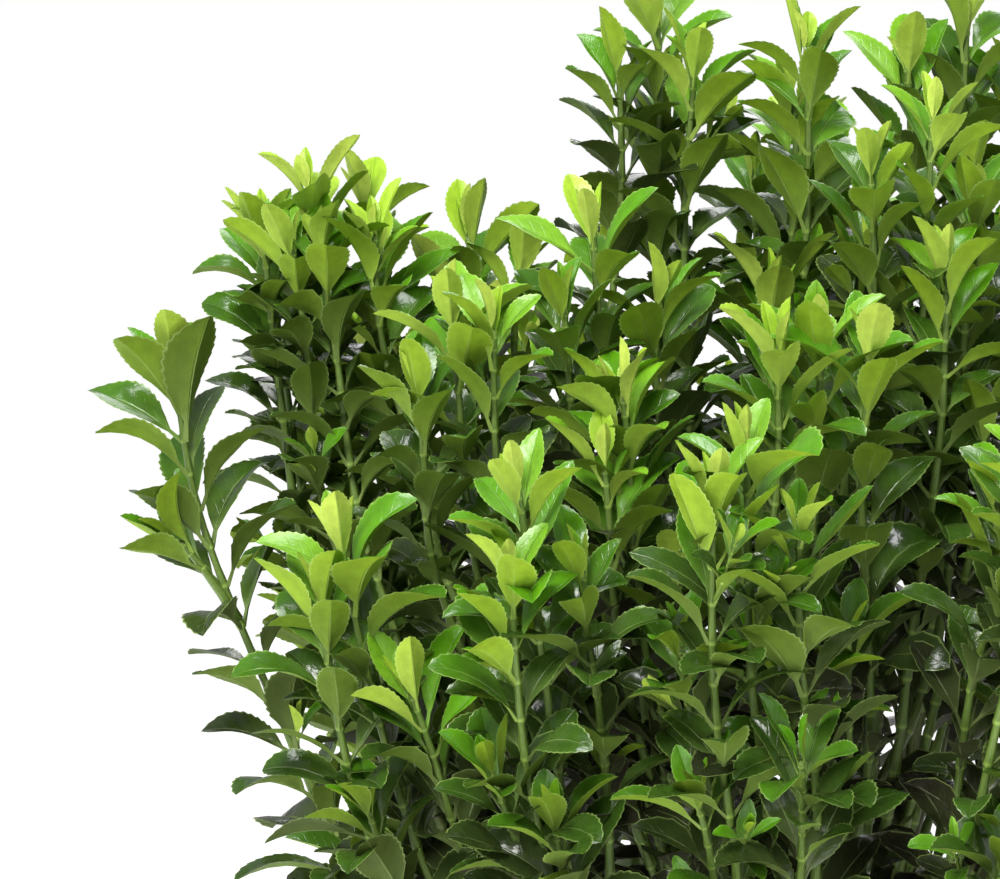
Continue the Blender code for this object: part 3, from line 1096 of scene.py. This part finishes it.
def leaf_mesh(name, forms, leaves):
    """One mesh of many leaves."""
    points, faces, under, places, bakes = [], [], [], [], []
    count = 0
    for grade, form in enumerate(forms):
        chosen = [leaf for leaf in leaves if leaf.grade == grade]
        if not chosen:
            continue
        made = bent_points(form, chosen)
        starts = count + np.arange(len(chosen)) * len(form.points)
        points.append(made.reshape(-1, 3))
        faces.append((form.faces[None] + starts[:, None, None]).reshape(-1, 3))
        under.append(np.tile(form.under, len(chosen)))
        place, bake = leaf_corners(form)
        places.append(np.tile(place, (len(chosen), 1)))
        bakes.append(np.tile(bake, (len(chosen), 1)))
        count += len(points[-1])
    mesh = new_mesh(name, np.concatenate(points), np.concatenate(faces))
    mesh.polygons.foreach_set("material_index", np.concatenate(under).astype(np.int32))
    add_map(mesh, "leaf_uv", np.concatenate(places))
    add_map(mesh, "OFBake", np.concatenate(bakes))
    mesh.set_sharp_from_angle(angle=SHARP_ANGLE)
    return mesh


def leaf_face(name, colour, roughness, side):
    """One side of a leaf: rib, arching side veins, soft mottling and a thin pale margin, which is painted
    highlight.
    """
    finish = Finish(name, roughness, side.specular)
    pale = blended(colour, side.pale, side.lean)
    point = finish.node("ShaderNodeUVMap", {"uv_map": "leaf_uv"}, {})
    across, along = finish.part(point, 0), finish.part(point, 1)
    off_rib = abs(across * 2.0 - 1.0)
    rib = 1.0 - off_rib.clear(0.015, 0.070)
    rib = rib * (1.0 - along.clear(0.45, 1.0) * 0.75)
    stalk = 1.0 - along.clear(0.12, 0.26)
    flush = 1.0 - along.clear(0.15, 0.80)
    # Painted highlight: a thin pale line along the margin stands for light caught on the leaf's rim.
    margin = off_rib.clear(0.90, 0.985) * along.clear(0.2, 0.35)
    wave = abs(((along - off_rib * VEIN_SLANT) * SIDE_VEINS).fraction() - 0.5)
    veins = (1.0 - wave.clear(0.02, 0.11)) * (1.0 - off_rib.clear(0.35, 0.85))
    mottle = finish.cloud(finish.stretched(point, (1.0, 1.6, 1.0)), 3.4)
    base = finish.mix(mottle.clear(0.3, 0.7), scaled(colour, 0.86), scaled(colour, 1.10))
    for mask in (veins * side.veins, flush * 0.25, rib * 0.6, stalk * 0.7, margin * 0.85):
        base = finish.mix(mask, base, pale)
    finish.drive("Base Color", base)
    finish.drive("Roughness", roughness + mottle * 0.08)
    finish.raise_by(mottle - veins * 0.12 - rib, LEAF_RELIEF)
    return finish.material


def stalk_face(name, colour, streak, roughness):
    """Skin of a green shoot: streaked, paler at its leaf nodes and woody where the shoot is old."""
    finish = Finish(name, roughness)
    point = finish.node("ShaderNodeUVMap", {"uv_map": "stalk_uv"}, {})
    across, along = finish.part(point, 0), finish.part(point, 1)
    age = (across * STALK_BANDS - 0.5) / STALK_BANDS
    streaks = finish.cloud(finish.stretched(point, (9.0 * STALK_BANDS, 1.2, 1.0)), 2.0)
    joint = abs(along * 2.0 - 1.0).clear(0.80, 1.0)
    base = finish.mix(streaks.clear(0.35, 0.7), colour, streak)
    base = finish.mix(joint * 0.8, base, scaled(streak, 1.7))
    bark = finish.mix(streaks.clear(0.30, 0.65), scaled(OLD_WOOD, 0.5), OLD_WOOD)
    base = finish.mix(age.clear(0.05, 0.80), base, bark)
    finish.drive("Base Color", base)
    finish.raise_by(streaks, 0.0003)
    return finish.material


def tube(line, radii, sides, relief=None):
    """Points and faces of a closed tube along a line. relief(ring, side) gives a factor on its radius."""
    points = []
    for i, (place, radius) in enumerate(zip(line, radii)):
        ahead = unit(line[min(i + 1, len(line) - 1)] - line[max(i - 1, 0)])
        first = unit(np.cross(ahead, (0.0, 1.0, 0.0)))
        second = np.cross(ahead, first)
        for j in range(sides):
            turn = math.tau * j / sides
            wide = radius * (relief(i, j) if relief else 1.0)
            points.append(place + wide * (math.cos(turn) * first + math.sin(turn) * second))
    faces = quads(len(line), sides)
    faces.append(tuple(reversed(range(sides))))
    faces.append(tuple(range((len(line) - 1) * sides, len(line) * sides)))
    return points, faces


Ring = namedtuple("Ring", "distance width place")


def stalk_rings(shoot):
    """Where a shoot's rings lie, how wide they are and where each is between two joints: 0.5 is midway."""
    joints = sorted(distance for _, distance, _ in shoot.pairs())
    rings = [Ring(0.0, 1.0, 0.5)]
    for before, joint in zip([0.0, *joints], joints):
        if joint - before > LEAST_JOINT_GAP:
            rings.append(Ring((joint + before) / 2, 1.0, 0.5))
            rings.append(Ring(joint - JOINT_SWELL, 1.0, BESIDE_JOINT))
        rings.append(Ring(joint, JOINT_WIDTH, 1.0))
    rings.append(Ring(shoot.length, SHOOT_END_WIDTH, 0.5))
    return rings


def stalk_places(face, rings, sides, length):
    """For each corner of a shoot's face: across in the band of its age, and along between two joints."""
    band = int(np.searchsorted(BAND_STARTS, length - rings[min(face) // sides].distance))
    seam = max(corner % sides for corner in face) == sides - 1
    places = []
    for corner in face:
        around = (corner % sides) / sides
        if seam and around == 0.0:
            around = 1.0
        places.append(((band + around) / STALK_BANDS, rings[corner // sides].place))
    return places


def stalk_mesh(name, shoots, sides):
    """One mesh of many shoots."""
    points, faces, places = [], [], []
    for shoot in shoots:
        rings = stalk_rings(shoot)
        line = np.array([shoot.point(ring.distance) for ring in rings])
        radii = [shoot.radius(ring.distance) * ring.width for ring in rings]
        part = tube(line, radii, sides)
        add_part(points, faces, part)
        for face in part[1]:
            places += stalk_places(face, rings, sides, shoot.length)
    mesh = new_mesh(name, points, faces)
    add_map(mesh, "stalk_uv", places)
    add_map(mesh, "OFBake", places)
    return mesh


def whole_limb(node, carriers):
    """A CAD limb's line and radii, begun inside the limb or compost that carries it, with a blunt end."""
    line, radii = limb_line(node)
    root = line[0] - LIMB_ROOT * unit(line[1] - line[0])
    if carriers:
        axes = np.concatenate([limb_line(carrier)[0] for carrier in carriers])
        root = axes[np.linalg.norm(axes - root, axis=1).argmin()]
    tip = line[-1] + LIMB_END * unit(line[-1] - line[-2])
    return np.array([root, *line, tip]), np.array([radii[0], *radii, radii[-1] * LIMB_END_SHARE])


def fine_line(line, radii):
    """The limb with a ring at every step of the bark."""
    along = distances(line)
    at = np.linspace(0.0, along[-1], max(int(along[-1] / BARK_STEP), LEAST_RINGS))
    return looked_up(at, along, line).T, np.interp(at, along, radii)


def bark_mesh(name, nodes, carriers, ridges, depth, scar_gap):
    """Limbs with lengthwise ridges and ringed leaf scars, in place of the plain CAD limbs."""
    points, faces = [], []
    for number, node in enumerate(nodes):
        line, radii = whole_limb(node, carriers)
        line, radii = fine_line(smoothed(line, LIMB_SMOOTHING), radii)

        def relief(ring, side):
            turn = math.tau * side / BARK_SIDES
            along = ring * BARK_STEP
            around = Vector(round_place(1.0, turn, 0.0)) * ridges
            ridge = noise.noise(around + Vector((0.0, 0.0, along * RIDGE_SCALE + LIMB_SHIFT * number)))
            knot = noise.noise(Vector((along * KNOT_SCALE, number * KNOT_SHIFT, 0.0)))
            off_scar = abs((along / scar_gap + SCAR_START) % 1.0 - 0.5) * scar_gap
            scar = max(0.0, 1.0 - off_scar / SCAR_WIDTH)
            height = ridge * RIDGE_SHARE + knot * KNOT_SHARE + SCAR_SHARE * scar
            return 1.0 + depth / radii[ring] * height + FLARE * math.exp(-along / FLARE_LENGTH)

        add_part(points, faces, tube(line, radii, BARK_SIDES, relief))
    return new_mesh(name, points, faces)


def bark_face(name, ridge, furrow, moss, moss_share, roughness):
    """Bark with furrows along the limb and a green cast."""
    finish = Finish(name, roughness, specular=0.3)
    spot = finish.spot()
    fibre = finish.cloud(finish.stretched(spot, (1.0, 1.0, 0.14)), 900.0, detail=4.0)
    patch = finish.cloud(spot, 70.0)
    base = finish.mix(fibre.clear(0.36, 0.62), furrow, ridge)
    base = finish.mix(patch.clear(0.40, 0.62) * moss_share, base, moss)
    finish.drive("Base Color", base)
    finish.drive("Roughness", roughness - fibre * 0.12)
    finish.raise_by(fibre, 0.0006)
    return finish.material


def turned_mesh(name, profile, segments, shape):
    """A closed mesh turned about Z from (radius, height) points. shape(radius, height, turn) moves one."""
    points = []
    for radius, height in profile:
        for j in range(segments):
            turn = math.tau * j / segments
            wide, high = shape(radius, height, turn)
            points.append(round_place(wide, turn, high))
    faces = [face[::-1] for face in quads(len(profile), segments)]
    faces.append(tuple(range(segments)))
    faces.append(tuple(reversed(range(len(points) - segments, len(points)))))
    return new_mesh(name, points, faces)


def arc(middle, radius, start, end, count):
    """Points of a round edge in a profile, with its angles in degrees from the outward direction."""
    turns = [math.radians(start + (end - start) * i / (count - 1)) for i in range(count)]
    return [(middle[0] + radius * math.cos(t), middle[1] + radius * math.sin(t)) for t in turns]


def straight(start, end, step):
    """Points of a straight stretch in a profile, without its end."""
    count = max(int(math.dist(start, end) / step), 1)
    return [
        (start[0] + (end[0] - start[0]) * i / count, start[1] + (end[1] - start[1]) * i / count)
        for i in range(count)
    ]


def pot_profile():
    """The pot from the middle of its inner floor over the rim to the middle of its underside."""
    section = Section("pot")

    def radii(height):
        return np.hypot(*section.cut(height).T)

    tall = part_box("pot")[1].z
    floor = SOIL_LOW.z - FLOOR_GAP
    body_top = COLLAR_FOOT * tall
    outer_top = radii(body_top - CUT_EDGE).max()
    outer_foot = radii(CUT_EDGE).max()
    collar, inner_top = radii(COLLAR_CUT * tall).max(), radii(COLLAR_CUT * tall).min()
    low, middle = radii(LOW_CUT * tall).min(), radii(MIDDLE_CUT * tall).min()
    inner_foot = low - (middle - low)
    floor_edge = inner_foot - FLOOR_ROUND
    lip = (collar - inner_top) / 2
    inner_lip, outer_lip = lip * INNER_LIP, lip * OUTER_LIP
    profile = [(MIDDLE_RADIUS, floor)]
    profile += straight((CAP_RADIUS, floor), (floor_edge, floor), FLOOR_STEP)
    profile += arc((floor_edge, floor + FLOOR_ROUND), FLOOR_ROUND, -90, -10, 5)
    wall_foot = (inner_foot + WALL_FOOT[0], floor + WALL_FOOT[1])
    profile += straight(wall_foot, (inner_top, body_top), INSIDE_STEP)
    profile += straight((inner_top, body_top), (inner_top, tall - inner_lip), RIM_STEP)
    profile += arc((inner_top + inner_lip, tall - inner_lip), inner_lip, 180, 90, 6)
    profile += arc((collar - outer_lip, tall - outer_lip), outer_lip, 90, 0, 6)
    collar_foot = (collar - COLLAR_DRAFT, body_top + COLLAR_LOW)
    profile += straight((collar, tall - lip / 2), collar_foot, COLLAR_STEP)
    collar_round = (collar - COLLAR_DRAFT - COLLAR_ROUND, body_top + COLLAR_ROUND)
    profile += arc(collar_round, COLLAR_ROUND, 0, -80, 5)
    profile.append((outer_top + COLLAR_DRAFT, body_top - COLLAR_NOTCH))
    wall_top = (outer_top, body_top - WALL_TOP_GAP)
    profile += straight(wall_top, (outer_foot, FOOT_EDGE), OUTSIDE_STEP)
    profile += arc((outer_foot - FOOT_ROUND, FOOT_ROUND), FOOT_ROUND, 0, -90, 5)
    profile += straight((outer_foot - FOOT_EDGE, 0.0), (CAP_RADIUS, 0.0), FLOOR_STEP)
    profile.append((MIDDLE_RADIUS, 0.0))
    return profile


def pot_mesh(ring_depth):
    def thrown(radius, height, turn):
        """Throwing rings and the small unevenness of a hand-turned pot."""
        if radius < INSIDE_RADIUS or height < PLAIN_FOOT:
            return radius, height
        rings = math.sin(height * math.tau / RING_PITCH + RING_DRIFT * math.sin(turn + RING_TWIST * height))
        swell = noise.noise(Vector(round_place(SWELL_AROUND, turn, height * SWELL_ALONG)))
        return radius - ring_depth * (1.0 - rings) / 2 - SWELL_DEPTH * (1.0 + swell), height

    mesh = turned_mesh("pot_clay", pot_profile(), POT_SIDES, thrown)
    body = bmesh.new()
    body.from_mesh(mesh)
    bmesh.ops.recalc_face_normals(body, faces=body.faces)
    body.to_mesh(mesh)
    body.free()
    return mesh


def drill_drains(pot):
    """Cuts the drain holes through the pot's floor, where the CAD pot has them."""
    floor = SOIL_LOW.z
    for i in range(DRAINS):
        turn = math.tau * (i + 0.5) / DRAINS
        place = round_place(DRAIN_RING, turn, floor / 2)
        bpy.ops.mesh.primitive_cylinder_add(
            vertices=DRAIN_SIDES, radius=DRAIN_RADIUS, depth=3 * floor, location=place
        )
        drill = bpy.context.object
        cut = pot.modifiers.new("Drain", "BOOLEAN")
        cut.operation = "DIFFERENCE"
        cut.object = drill
        with bpy.context.temp_override(object=pot, active_object=pot, selected_objects=[pot]):
            bpy.ops.object.modifier_apply(modifier=cut.name)
        bpy.data.objects.remove(drill)


def clay_face(settings):
    """Matt fired clay with fine grit, darker fired patches and a pale bloom of salts."""
    finish = Finish("fired_clay", 0.88, specular=0.25)
    spot = finish.spot()
    height = finish.part(spot, 2)
    grain = finish.cloud(spot, 620.0, detail=5.0, rough=0.7)
    patch = finish.cloud(spot, 17.0, detail=4.0)
    streak = finish.cloud(finish.stretched(spot, (1.0, 1.0, 1.7)), 30.0, detail=6.0, rough=0.62)
    clay = tuple(settings.clay_colour)
    base = finish.mix(patch.clear(0.35, 0.65), scaled(clay, 0.72), clay)
    base = finish.mix(grain.clear(0.42, 0.72) * 0.35, base, scaled(clay, 1.25))
    low = 1.0 - height.clear(0.0, 0.10)
    high = height.clear(0.20, 0.245)
    bloom = streak.clear(0.44, 0.74) * (0.14 + 0.46 * low + 0.20 * high)
    base = finish.mix(bloom, base, tuple(settings.bloom_colour))
    finish.drive("Base Color", base)
    finish.drive("Roughness", 0.80 + grain * 0.15)
    finish.raise_by(grain + streak * 0.4, 0.0006)
    return finish.material


def soil_reach(height):
    """The compost's radius at this height in the pot."""
    return np.hypot(*Section("compost").cut(height).T).min()


def soil_surface(radius, turn):
    """Height of the loose compost at this place: level in the middle and lower towards the pot."""
    level = SOIL_HIGH.z - SOIL_EDGE * max(radius - SOIL_MIDDLE, 0.0) / SOIL_FALL
    spot = Vector(round_place(radius, turn, 0.0))
    return level - SOIL_SINK + sum(noise.noise(spot * scale) * height for scale, height in LUMPS)


def soil_mesh():
    """The compost: a rough top over a plain body that fills the pot."""
    top = soil_reach(SOIL_HIGH.z - SOIL_TOP_CUT)
    foot = soil_reach(SOIL_LOW.z + SOIL_LOW_CUT)
    turns = [math.tau * j / SOIL_SIDES for j in range(SOIL_SIDES)]
    points = [(0.0, 0.0, soil_surface(0.0, 0.0))]
    for i in range(SOIL_RINGS):
        radius = top * (i + 1) / SOIL_RINGS
        points += [round_place(radius, turn, soil_surface(radius, turn)) for turn in turns]
    points += [round_place(foot, turn, SOIL_LOW.z + SOIL_CLEARANCE) for turn in turns]
    faces = [(0, 1 + j, 1 + (j + 1) % SOIL_SIDES) for j in range(SOIL_SIDES)]
    faces += [(a, d, c, b) for a, b, c, d in quads(SOIL_RINGS + 1, SOIL_SIDES, 1)]
    faces.append(tuple(reversed(range(len(points) - SOIL_SIDES, len(points)))))
    return new_mesh("compost_bed", points, faces)


def lump_mesh(name, count, sizes, seed, stretch=1.0):
    """Loose crumbs or fibres on the compost, each a small uneven lump."""
    rng = random.Random(seed)
    least, most = sizes
    lump = bmesh.new()
    bmesh.ops.create_icosphere(lump, subdivisions=1, radius=1.0)
    form = np.array([vertex.co for vertex in lump.verts])
    form_faces = np.array([[vertex.index for vertex in face.verts] for face in lump.faces])
    lump.free()
    narrow = math.sqrt(stretch)
    proportions = np.array((stretch, 1.0 / narrow, LUMP_FLATNESS / narrow))
    reach = soil_reach(SOIL_HIGH.z - SOIL_TOP_CUT) - most * stretch
    points, faces = [], []
    for _ in range(count):
        radius = reach * math.sqrt(rng.random())
        turn = rng.uniform(0.0, math.tau)
        size = least + (most - least) * rng.random() ** SMALL_LUMP_POWER
        rough = np.array([[rng.uniform(*LUMP_UNEVENNESS)] for _ in form])
        lie = Vector((rng.gauss(0, 1), rng.gauss(0, 1), rng.gauss(0, LUMP_TILT)))
        spin = np.array(lie.to_track_quat("X", "Z").to_matrix())
        height = soil_surface(radius, turn) + size * LUMP_RISE
        place = np.array(round_place(radius, turn, height))
        faces.append(form_faces + len(form) * len(points))
        points.append((form * rough * size * proportions) @ spin.T + place)
    return new_mesh(name, np.concatenate(points), np.concatenate(faces))


def soil_face(name, dark, pale, pale_share):
    """Moist compost: near black, with paler fibre."""
    finish = Finish(name, 0.92, specular=0.3)
    spot = finish.spot()
    grain = finish.cloud(spot, 420.0, detail=6.0, rough=0.75)
    patch = finish.cloud(spot, 60.0)
    base = finish.mix(grain.clear(0.45, 0.78) * pale_share, dark, pale)
    base = finish.mix(patch.clear(0.4, 0.7) * 0.5, base, scaled(dark, 0.45))
    finish.drive("Base Color", base)
    finish.raise_by(grain, 0.0016)
    return finish.material


def floor_face():
    """Plain pale studio floor."""
    finish = Finish("pale_floor", 0.85, specular=0.2)
    finish.drive("Base Color", finish.mix(finish.cloud(finish.spot(), 1.5), *FLOOR_TONES))
    finish.drive("Emission Color", WHITE)
    finish.drive("Emission Strength", FLOOR_GLOW)
    return finish.material


def add_light(name, lamp, settings):
    """A large soft light that points at the plant."""
    data = bpy.data.lights.new(name, "AREA")
    data.shape = "DISK"
    data.size = lamp.width
    data.energy = lamp.share * getattr(settings, lamp.setting)
    data.color = lamp.colour
    light = bpy.data.objects.new(name, data)
    light.location = lamp.place
    light.rotation_euler = (Vector(LAMP_AIM) - Vector(lamp.place)).to_track_quat("-Z", "Y").to_euler()
    light.visible_camera = False
    bpy.context.scene.collection.objects.link(light)


def add_floor():
    """The floor, a plain disk just under the pot."""
    mesh = bpy.data.meshes.new("floor")
    form = bmesh.new()
    bmesh.ops.create_circle(form, cap_ends=True, segments=FLOOR_SIDES, radius=FLOOR_RADIUS)
    form.to_mesh(mesh)
    form.free()
    mesh.materials.append(floor_face())
    floor = bpy.data.objects.new("floor", mesh)
    floor.location.z = -FLOOR_DROP
    bpy.context.scene.collection.objects.link(floor)
    floor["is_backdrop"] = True


def add_surroundings(daylight):
    """White surroundings: soft daylight on the plant, and plain white where the camera sees them."""
    world = bpy.data.worlds.new("white_surroundings")
    world.use_nodes = True
    nodes, links = world.node_tree.nodes, world.node_tree.links
    surroundings = nodes["Background"]
    seen = nodes.new("ShaderNodeBackground")
    for background, strength in ((surroundings, daylight), (seen, 1.0)):
        background.inputs["Color"].default_value = (*WHITE, 1.0)
        background.inputs["Strength"].default_value = strength
    rays = nodes.new("ShaderNodeLightPath")
    choice = nodes.new("ShaderNodeMixShader")
    links.new(rays.outputs["Is Camera Ray"], choice.inputs[0])
    links.new(surroundings.outputs[0], choice.inputs[1])
    links.new(seen.outputs[0], choice.inputs[2])
    links.new(choice.outputs[0], nodes["World Output"].inputs["Surface"])
    bpy.context.scene.world = world


def add_camera(settings):
    """The camera, straight in front of the plant and a little above."""
    data = bpy.data.cameras.new("camera")
    data.lens = settings.lens
    data.sensor_width = SENSOR_WIDTH
    data.clip_end = CAMERA_REACH
    camera = bpy.data.objects.new("camera", data)
    back = Vector((0.0, -math.cos(settings.elevation), math.sin(settings.elevation)))
    camera.location = Vector(settings.aim) + back * settings.distance
    camera.rotation_euler = (-back).to_track_quat("-Z", "Y").to_euler()
    bpy.context.scene.collection.objects.link(camera)
    bpy.context.scene.camera = camera


class EUONYMUS_OT_pot(bpy.types.Operator):
    """Turn the clay pot, in place of the plain one"""

    bl_idname = "euonymus.pot"
    bl_label = "Pot"

    def execute(self, context):
        settings = context.scene.euonymus_pot
        pot = new_piece("pot_clay", pot_mesh(settings.ring_depth), [clay_face(settings)], ["pot"])
        drill_drains(pot)
        return {"FINISHED"}


class EUONYMUS_OT_compost(bpy.types.Operator):
    """Lay the compost and its loose crumbs and fibres"""

    bl_idname = "euonymus.compost"
    bl_label = "Compost"

    def execute(self, context):
        settings = context.scene.euonymus_compost
        dark, pale = tuple(settings.colour), tuple(settings.chip_colour)
        bed = soil_face("compost_bed", dark, pale, pale_share=0.6)
        crumb = soil_face("compost_crumb", scaled(dark, 1.3), pale, pale_share=0.8)
        fibre = soil_face("compost_fibre", pale, scaled(pale, 1.8), pale_share=0.8)
        new_piece("compost_bed", soil_mesh(), [bed], ["compost"])
        crumbs = lump_mesh("compost_crumbs", settings.crumbs, CRUMB_SIZES, seed=3)
        new_piece("compost_crumbs", crumbs, [crumb], [])
        count = settings.crumbs // CRUMBS_PER_FIBRE
        fibres = lump_mesh("compost_fibres", count, FIBRE_SIZES, seed=4, stretch=FIBRE_STRETCH)
        new_piece("compost_fibres", fibres, [fibre], [])
        return {"FINISHED"}


class EUONYMUS_OT_limbs(bpy.types.Operator):
    """Cover the stems and boughs with bark in relief"""

    bl_idname = "euonymus.limbs"
    bl_label = "Stems and Boughs"

    def execute(self, context):
        settings = context.scene.euonymus_bark
        depth = settings.ridge_depth
        ridge, furrow = tuple(settings.ridge_colour), tuple(settings.furrow_colour)
        young = tuple(settings.young_colour)
        dark = scaled(young, 0.45)
        old_bark = bark_face("old_bark", ridge, furrow, young, moss_share=0.35, roughness=0.85)
        young_bark = bark_face("young_bark", young, dark, ridge, moss_share=0.55, roughness=0.62)
        stems = bark_mesh("stem_bark", STEMS, [], STEM_RIDGES, depth, STEM_SCAR_GAP)
        new_piece("stem_bark", stems, [old_bark], STEMS)
        boughs = bark_mesh("bough_bark", BOUGHS, STEMS, BOUGH_RIDGES, depth / 2, BOUGH_SCAR_GAP)
        new_piece("bough_bark", boughs, [young_bark], BOUGHS)
        return {"FINISHED"}


class EUONYMUS_OT_shoots(bpy.types.Operator):
    """Grow the shoots and twigs on from the boughs"""

    bl_idname = "euonymus.shoots"
    bl_label = "Shoots"

    def execute(self, context):
        grown = grow_crown(context.scene.euonymus_shoots)
        shoots = [shoot for shoot in grown if not shoot.order]
        twigs = [shoot for shoot in grown if shoot.order]
        green = stalk_face("green_shoot", SHOOT_SKIN, SHOOT_STREAK, roughness=0.45)
        fresh = stalk_face("fresh_twig", TWIG_SKIN, TWIG_STREAK, roughness=0.42)
        new_piece("shoots", stalk_mesh("shoots", shoots, SHOOT_SIDES), [green], [])
        new_piece("twigs", stalk_mesh("twigs", twigs, TWIG_SIDES), [fresh], [])
        return {"FINISHED"}


class EUONYMUS_OT_leaves(bpy.types.Operator):
    """Put a pair of leaves at each node of each shoot, in place of the foliage masses"""

    bl_idname = "euonymus.leaves"
    bl_label = "Leaves"

    def execute(self, context):
        shoot_settings = context.scene.euonymus_shoots
        settings = context.scene.euonymus_leaves
        leaves = leaf_out(grow_crown(shoot_settings), settings, shoot_settings.seed)
        thin = settings.thickness / settings.length / 2
        forms = [
            LeafForm(grade.rib, grade.base, round(grade.teeth * settings.teeth), grade.quilted, thin)
            for grade in GRADES
        ]
        for number, tint in enumerate(TINTS):
            chosen = [leaf for leaf in leaves if leaf.tint == number]
            mesh = leaf_mesh(f"leaves_{tint.name}", forms, chosen)
            upper = leaf_face(f"leaf_{tint.name}_upper", tint.upper, tint.roughness, UPPER_SIDE)
            under = leaf_face(f"leaf_{tint.name}_under", tint.under, UNDER_ROUGHNESS, UNDER_SIDE)
            new_piece(f"leaf_sprays_{tint.name}", mesh, [upper, under], MASSES)
        return {"FINISHED"}


class EUONYMUS_OT_stage(bpy.types.Operator):
    """Set the floor, the soft light and the camera"""

    bl_idname = "euonymus.stage"
    bl_label = "Stage"

    def execute(self, context):
        settings = context.scene.euonymus_stage
        add_floor()
        for name, lamp in LAMPS.items():
            add_light(name, lamp, settings)
        add_surroundings(settings.daylight)
        add_camera(settings)
        context.scene.view_settings.view_transform = "Standard"
        return {"FINISHED"}


GROUPS = {
    "euonymus_shoots": EuonymusShoots,
    "euonymus_leaves": EuonymusLeaves,
    "euonymus_bark": EuonymusBark,
    "euonymus_pot": EuonymusPot,
    "euonymus_compost": EuonymusCompost,
    "euonymus_stage": EuonymusStage,
}

STEPS = (
    EUONYMUS_OT_pot,
    EUONYMUS_OT_compost,
    EUONYMUS_OT_limbs,
    EUONYMUS_OT_shoots,
    EUONYMUS_OT_leaves,
    EUONYMUS_OT_stage,
)


class EUONYMUS_PT_panel(bpy.types.Panel):
    """Lists the steps that make the plant"""

    bl_idname = "EUONYMUS_PT_panel"
    bl_label = "Potted Euonymus"
    bl_space_type = "VIEW_3D"
    bl_region_type = "UI"
    bl_category = "Euonymus"

    def draw(self, context):
        for step in STEPS:
            self.layout.operator(step.bl_idname)
        for name, group in GROUPS.items():
            box = self.layout.box()
            box.label(text=name.replace("_", " ").title())
            for setting in group.__annotations__:
                box.prop(getattr(context.scene, name), setting)


def register():
    for name, group in GROUPS.items():
        bpy.utils.register_class(group)
        setattr(bpy.types.Scene, name, PointerProperty(type=group))
    for made in (*STEPS, EUONYMUS_PT_panel):
        bpy.utils.register_class(made)


def unregister():
    for made in (EUONYMUS_PT_panel, *reversed(STEPS)):
        bpy.utils.unregister_class(made)
    for name, group in GROUPS.items():
        delattr(bpy.types.Scene, name)
        bpy.utils.unregister_class(group)


def main():
    register()
    bpy.ops.euonymus.pot()
    bpy.ops.euonymus.compost()
    bpy.ops.euonymus.limbs()
    bpy.ops.euonymus.shoots()
    bpy.ops.euonymus.leaves()
    bpy.ops.euonymus.stage()
    boxes = {"cad_box": CAD_BOX, "visual_box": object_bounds()}
    {name: [list(corner) for corner in box] for name, box in boxes.items()}


if __name__ == "__main__":
    main()
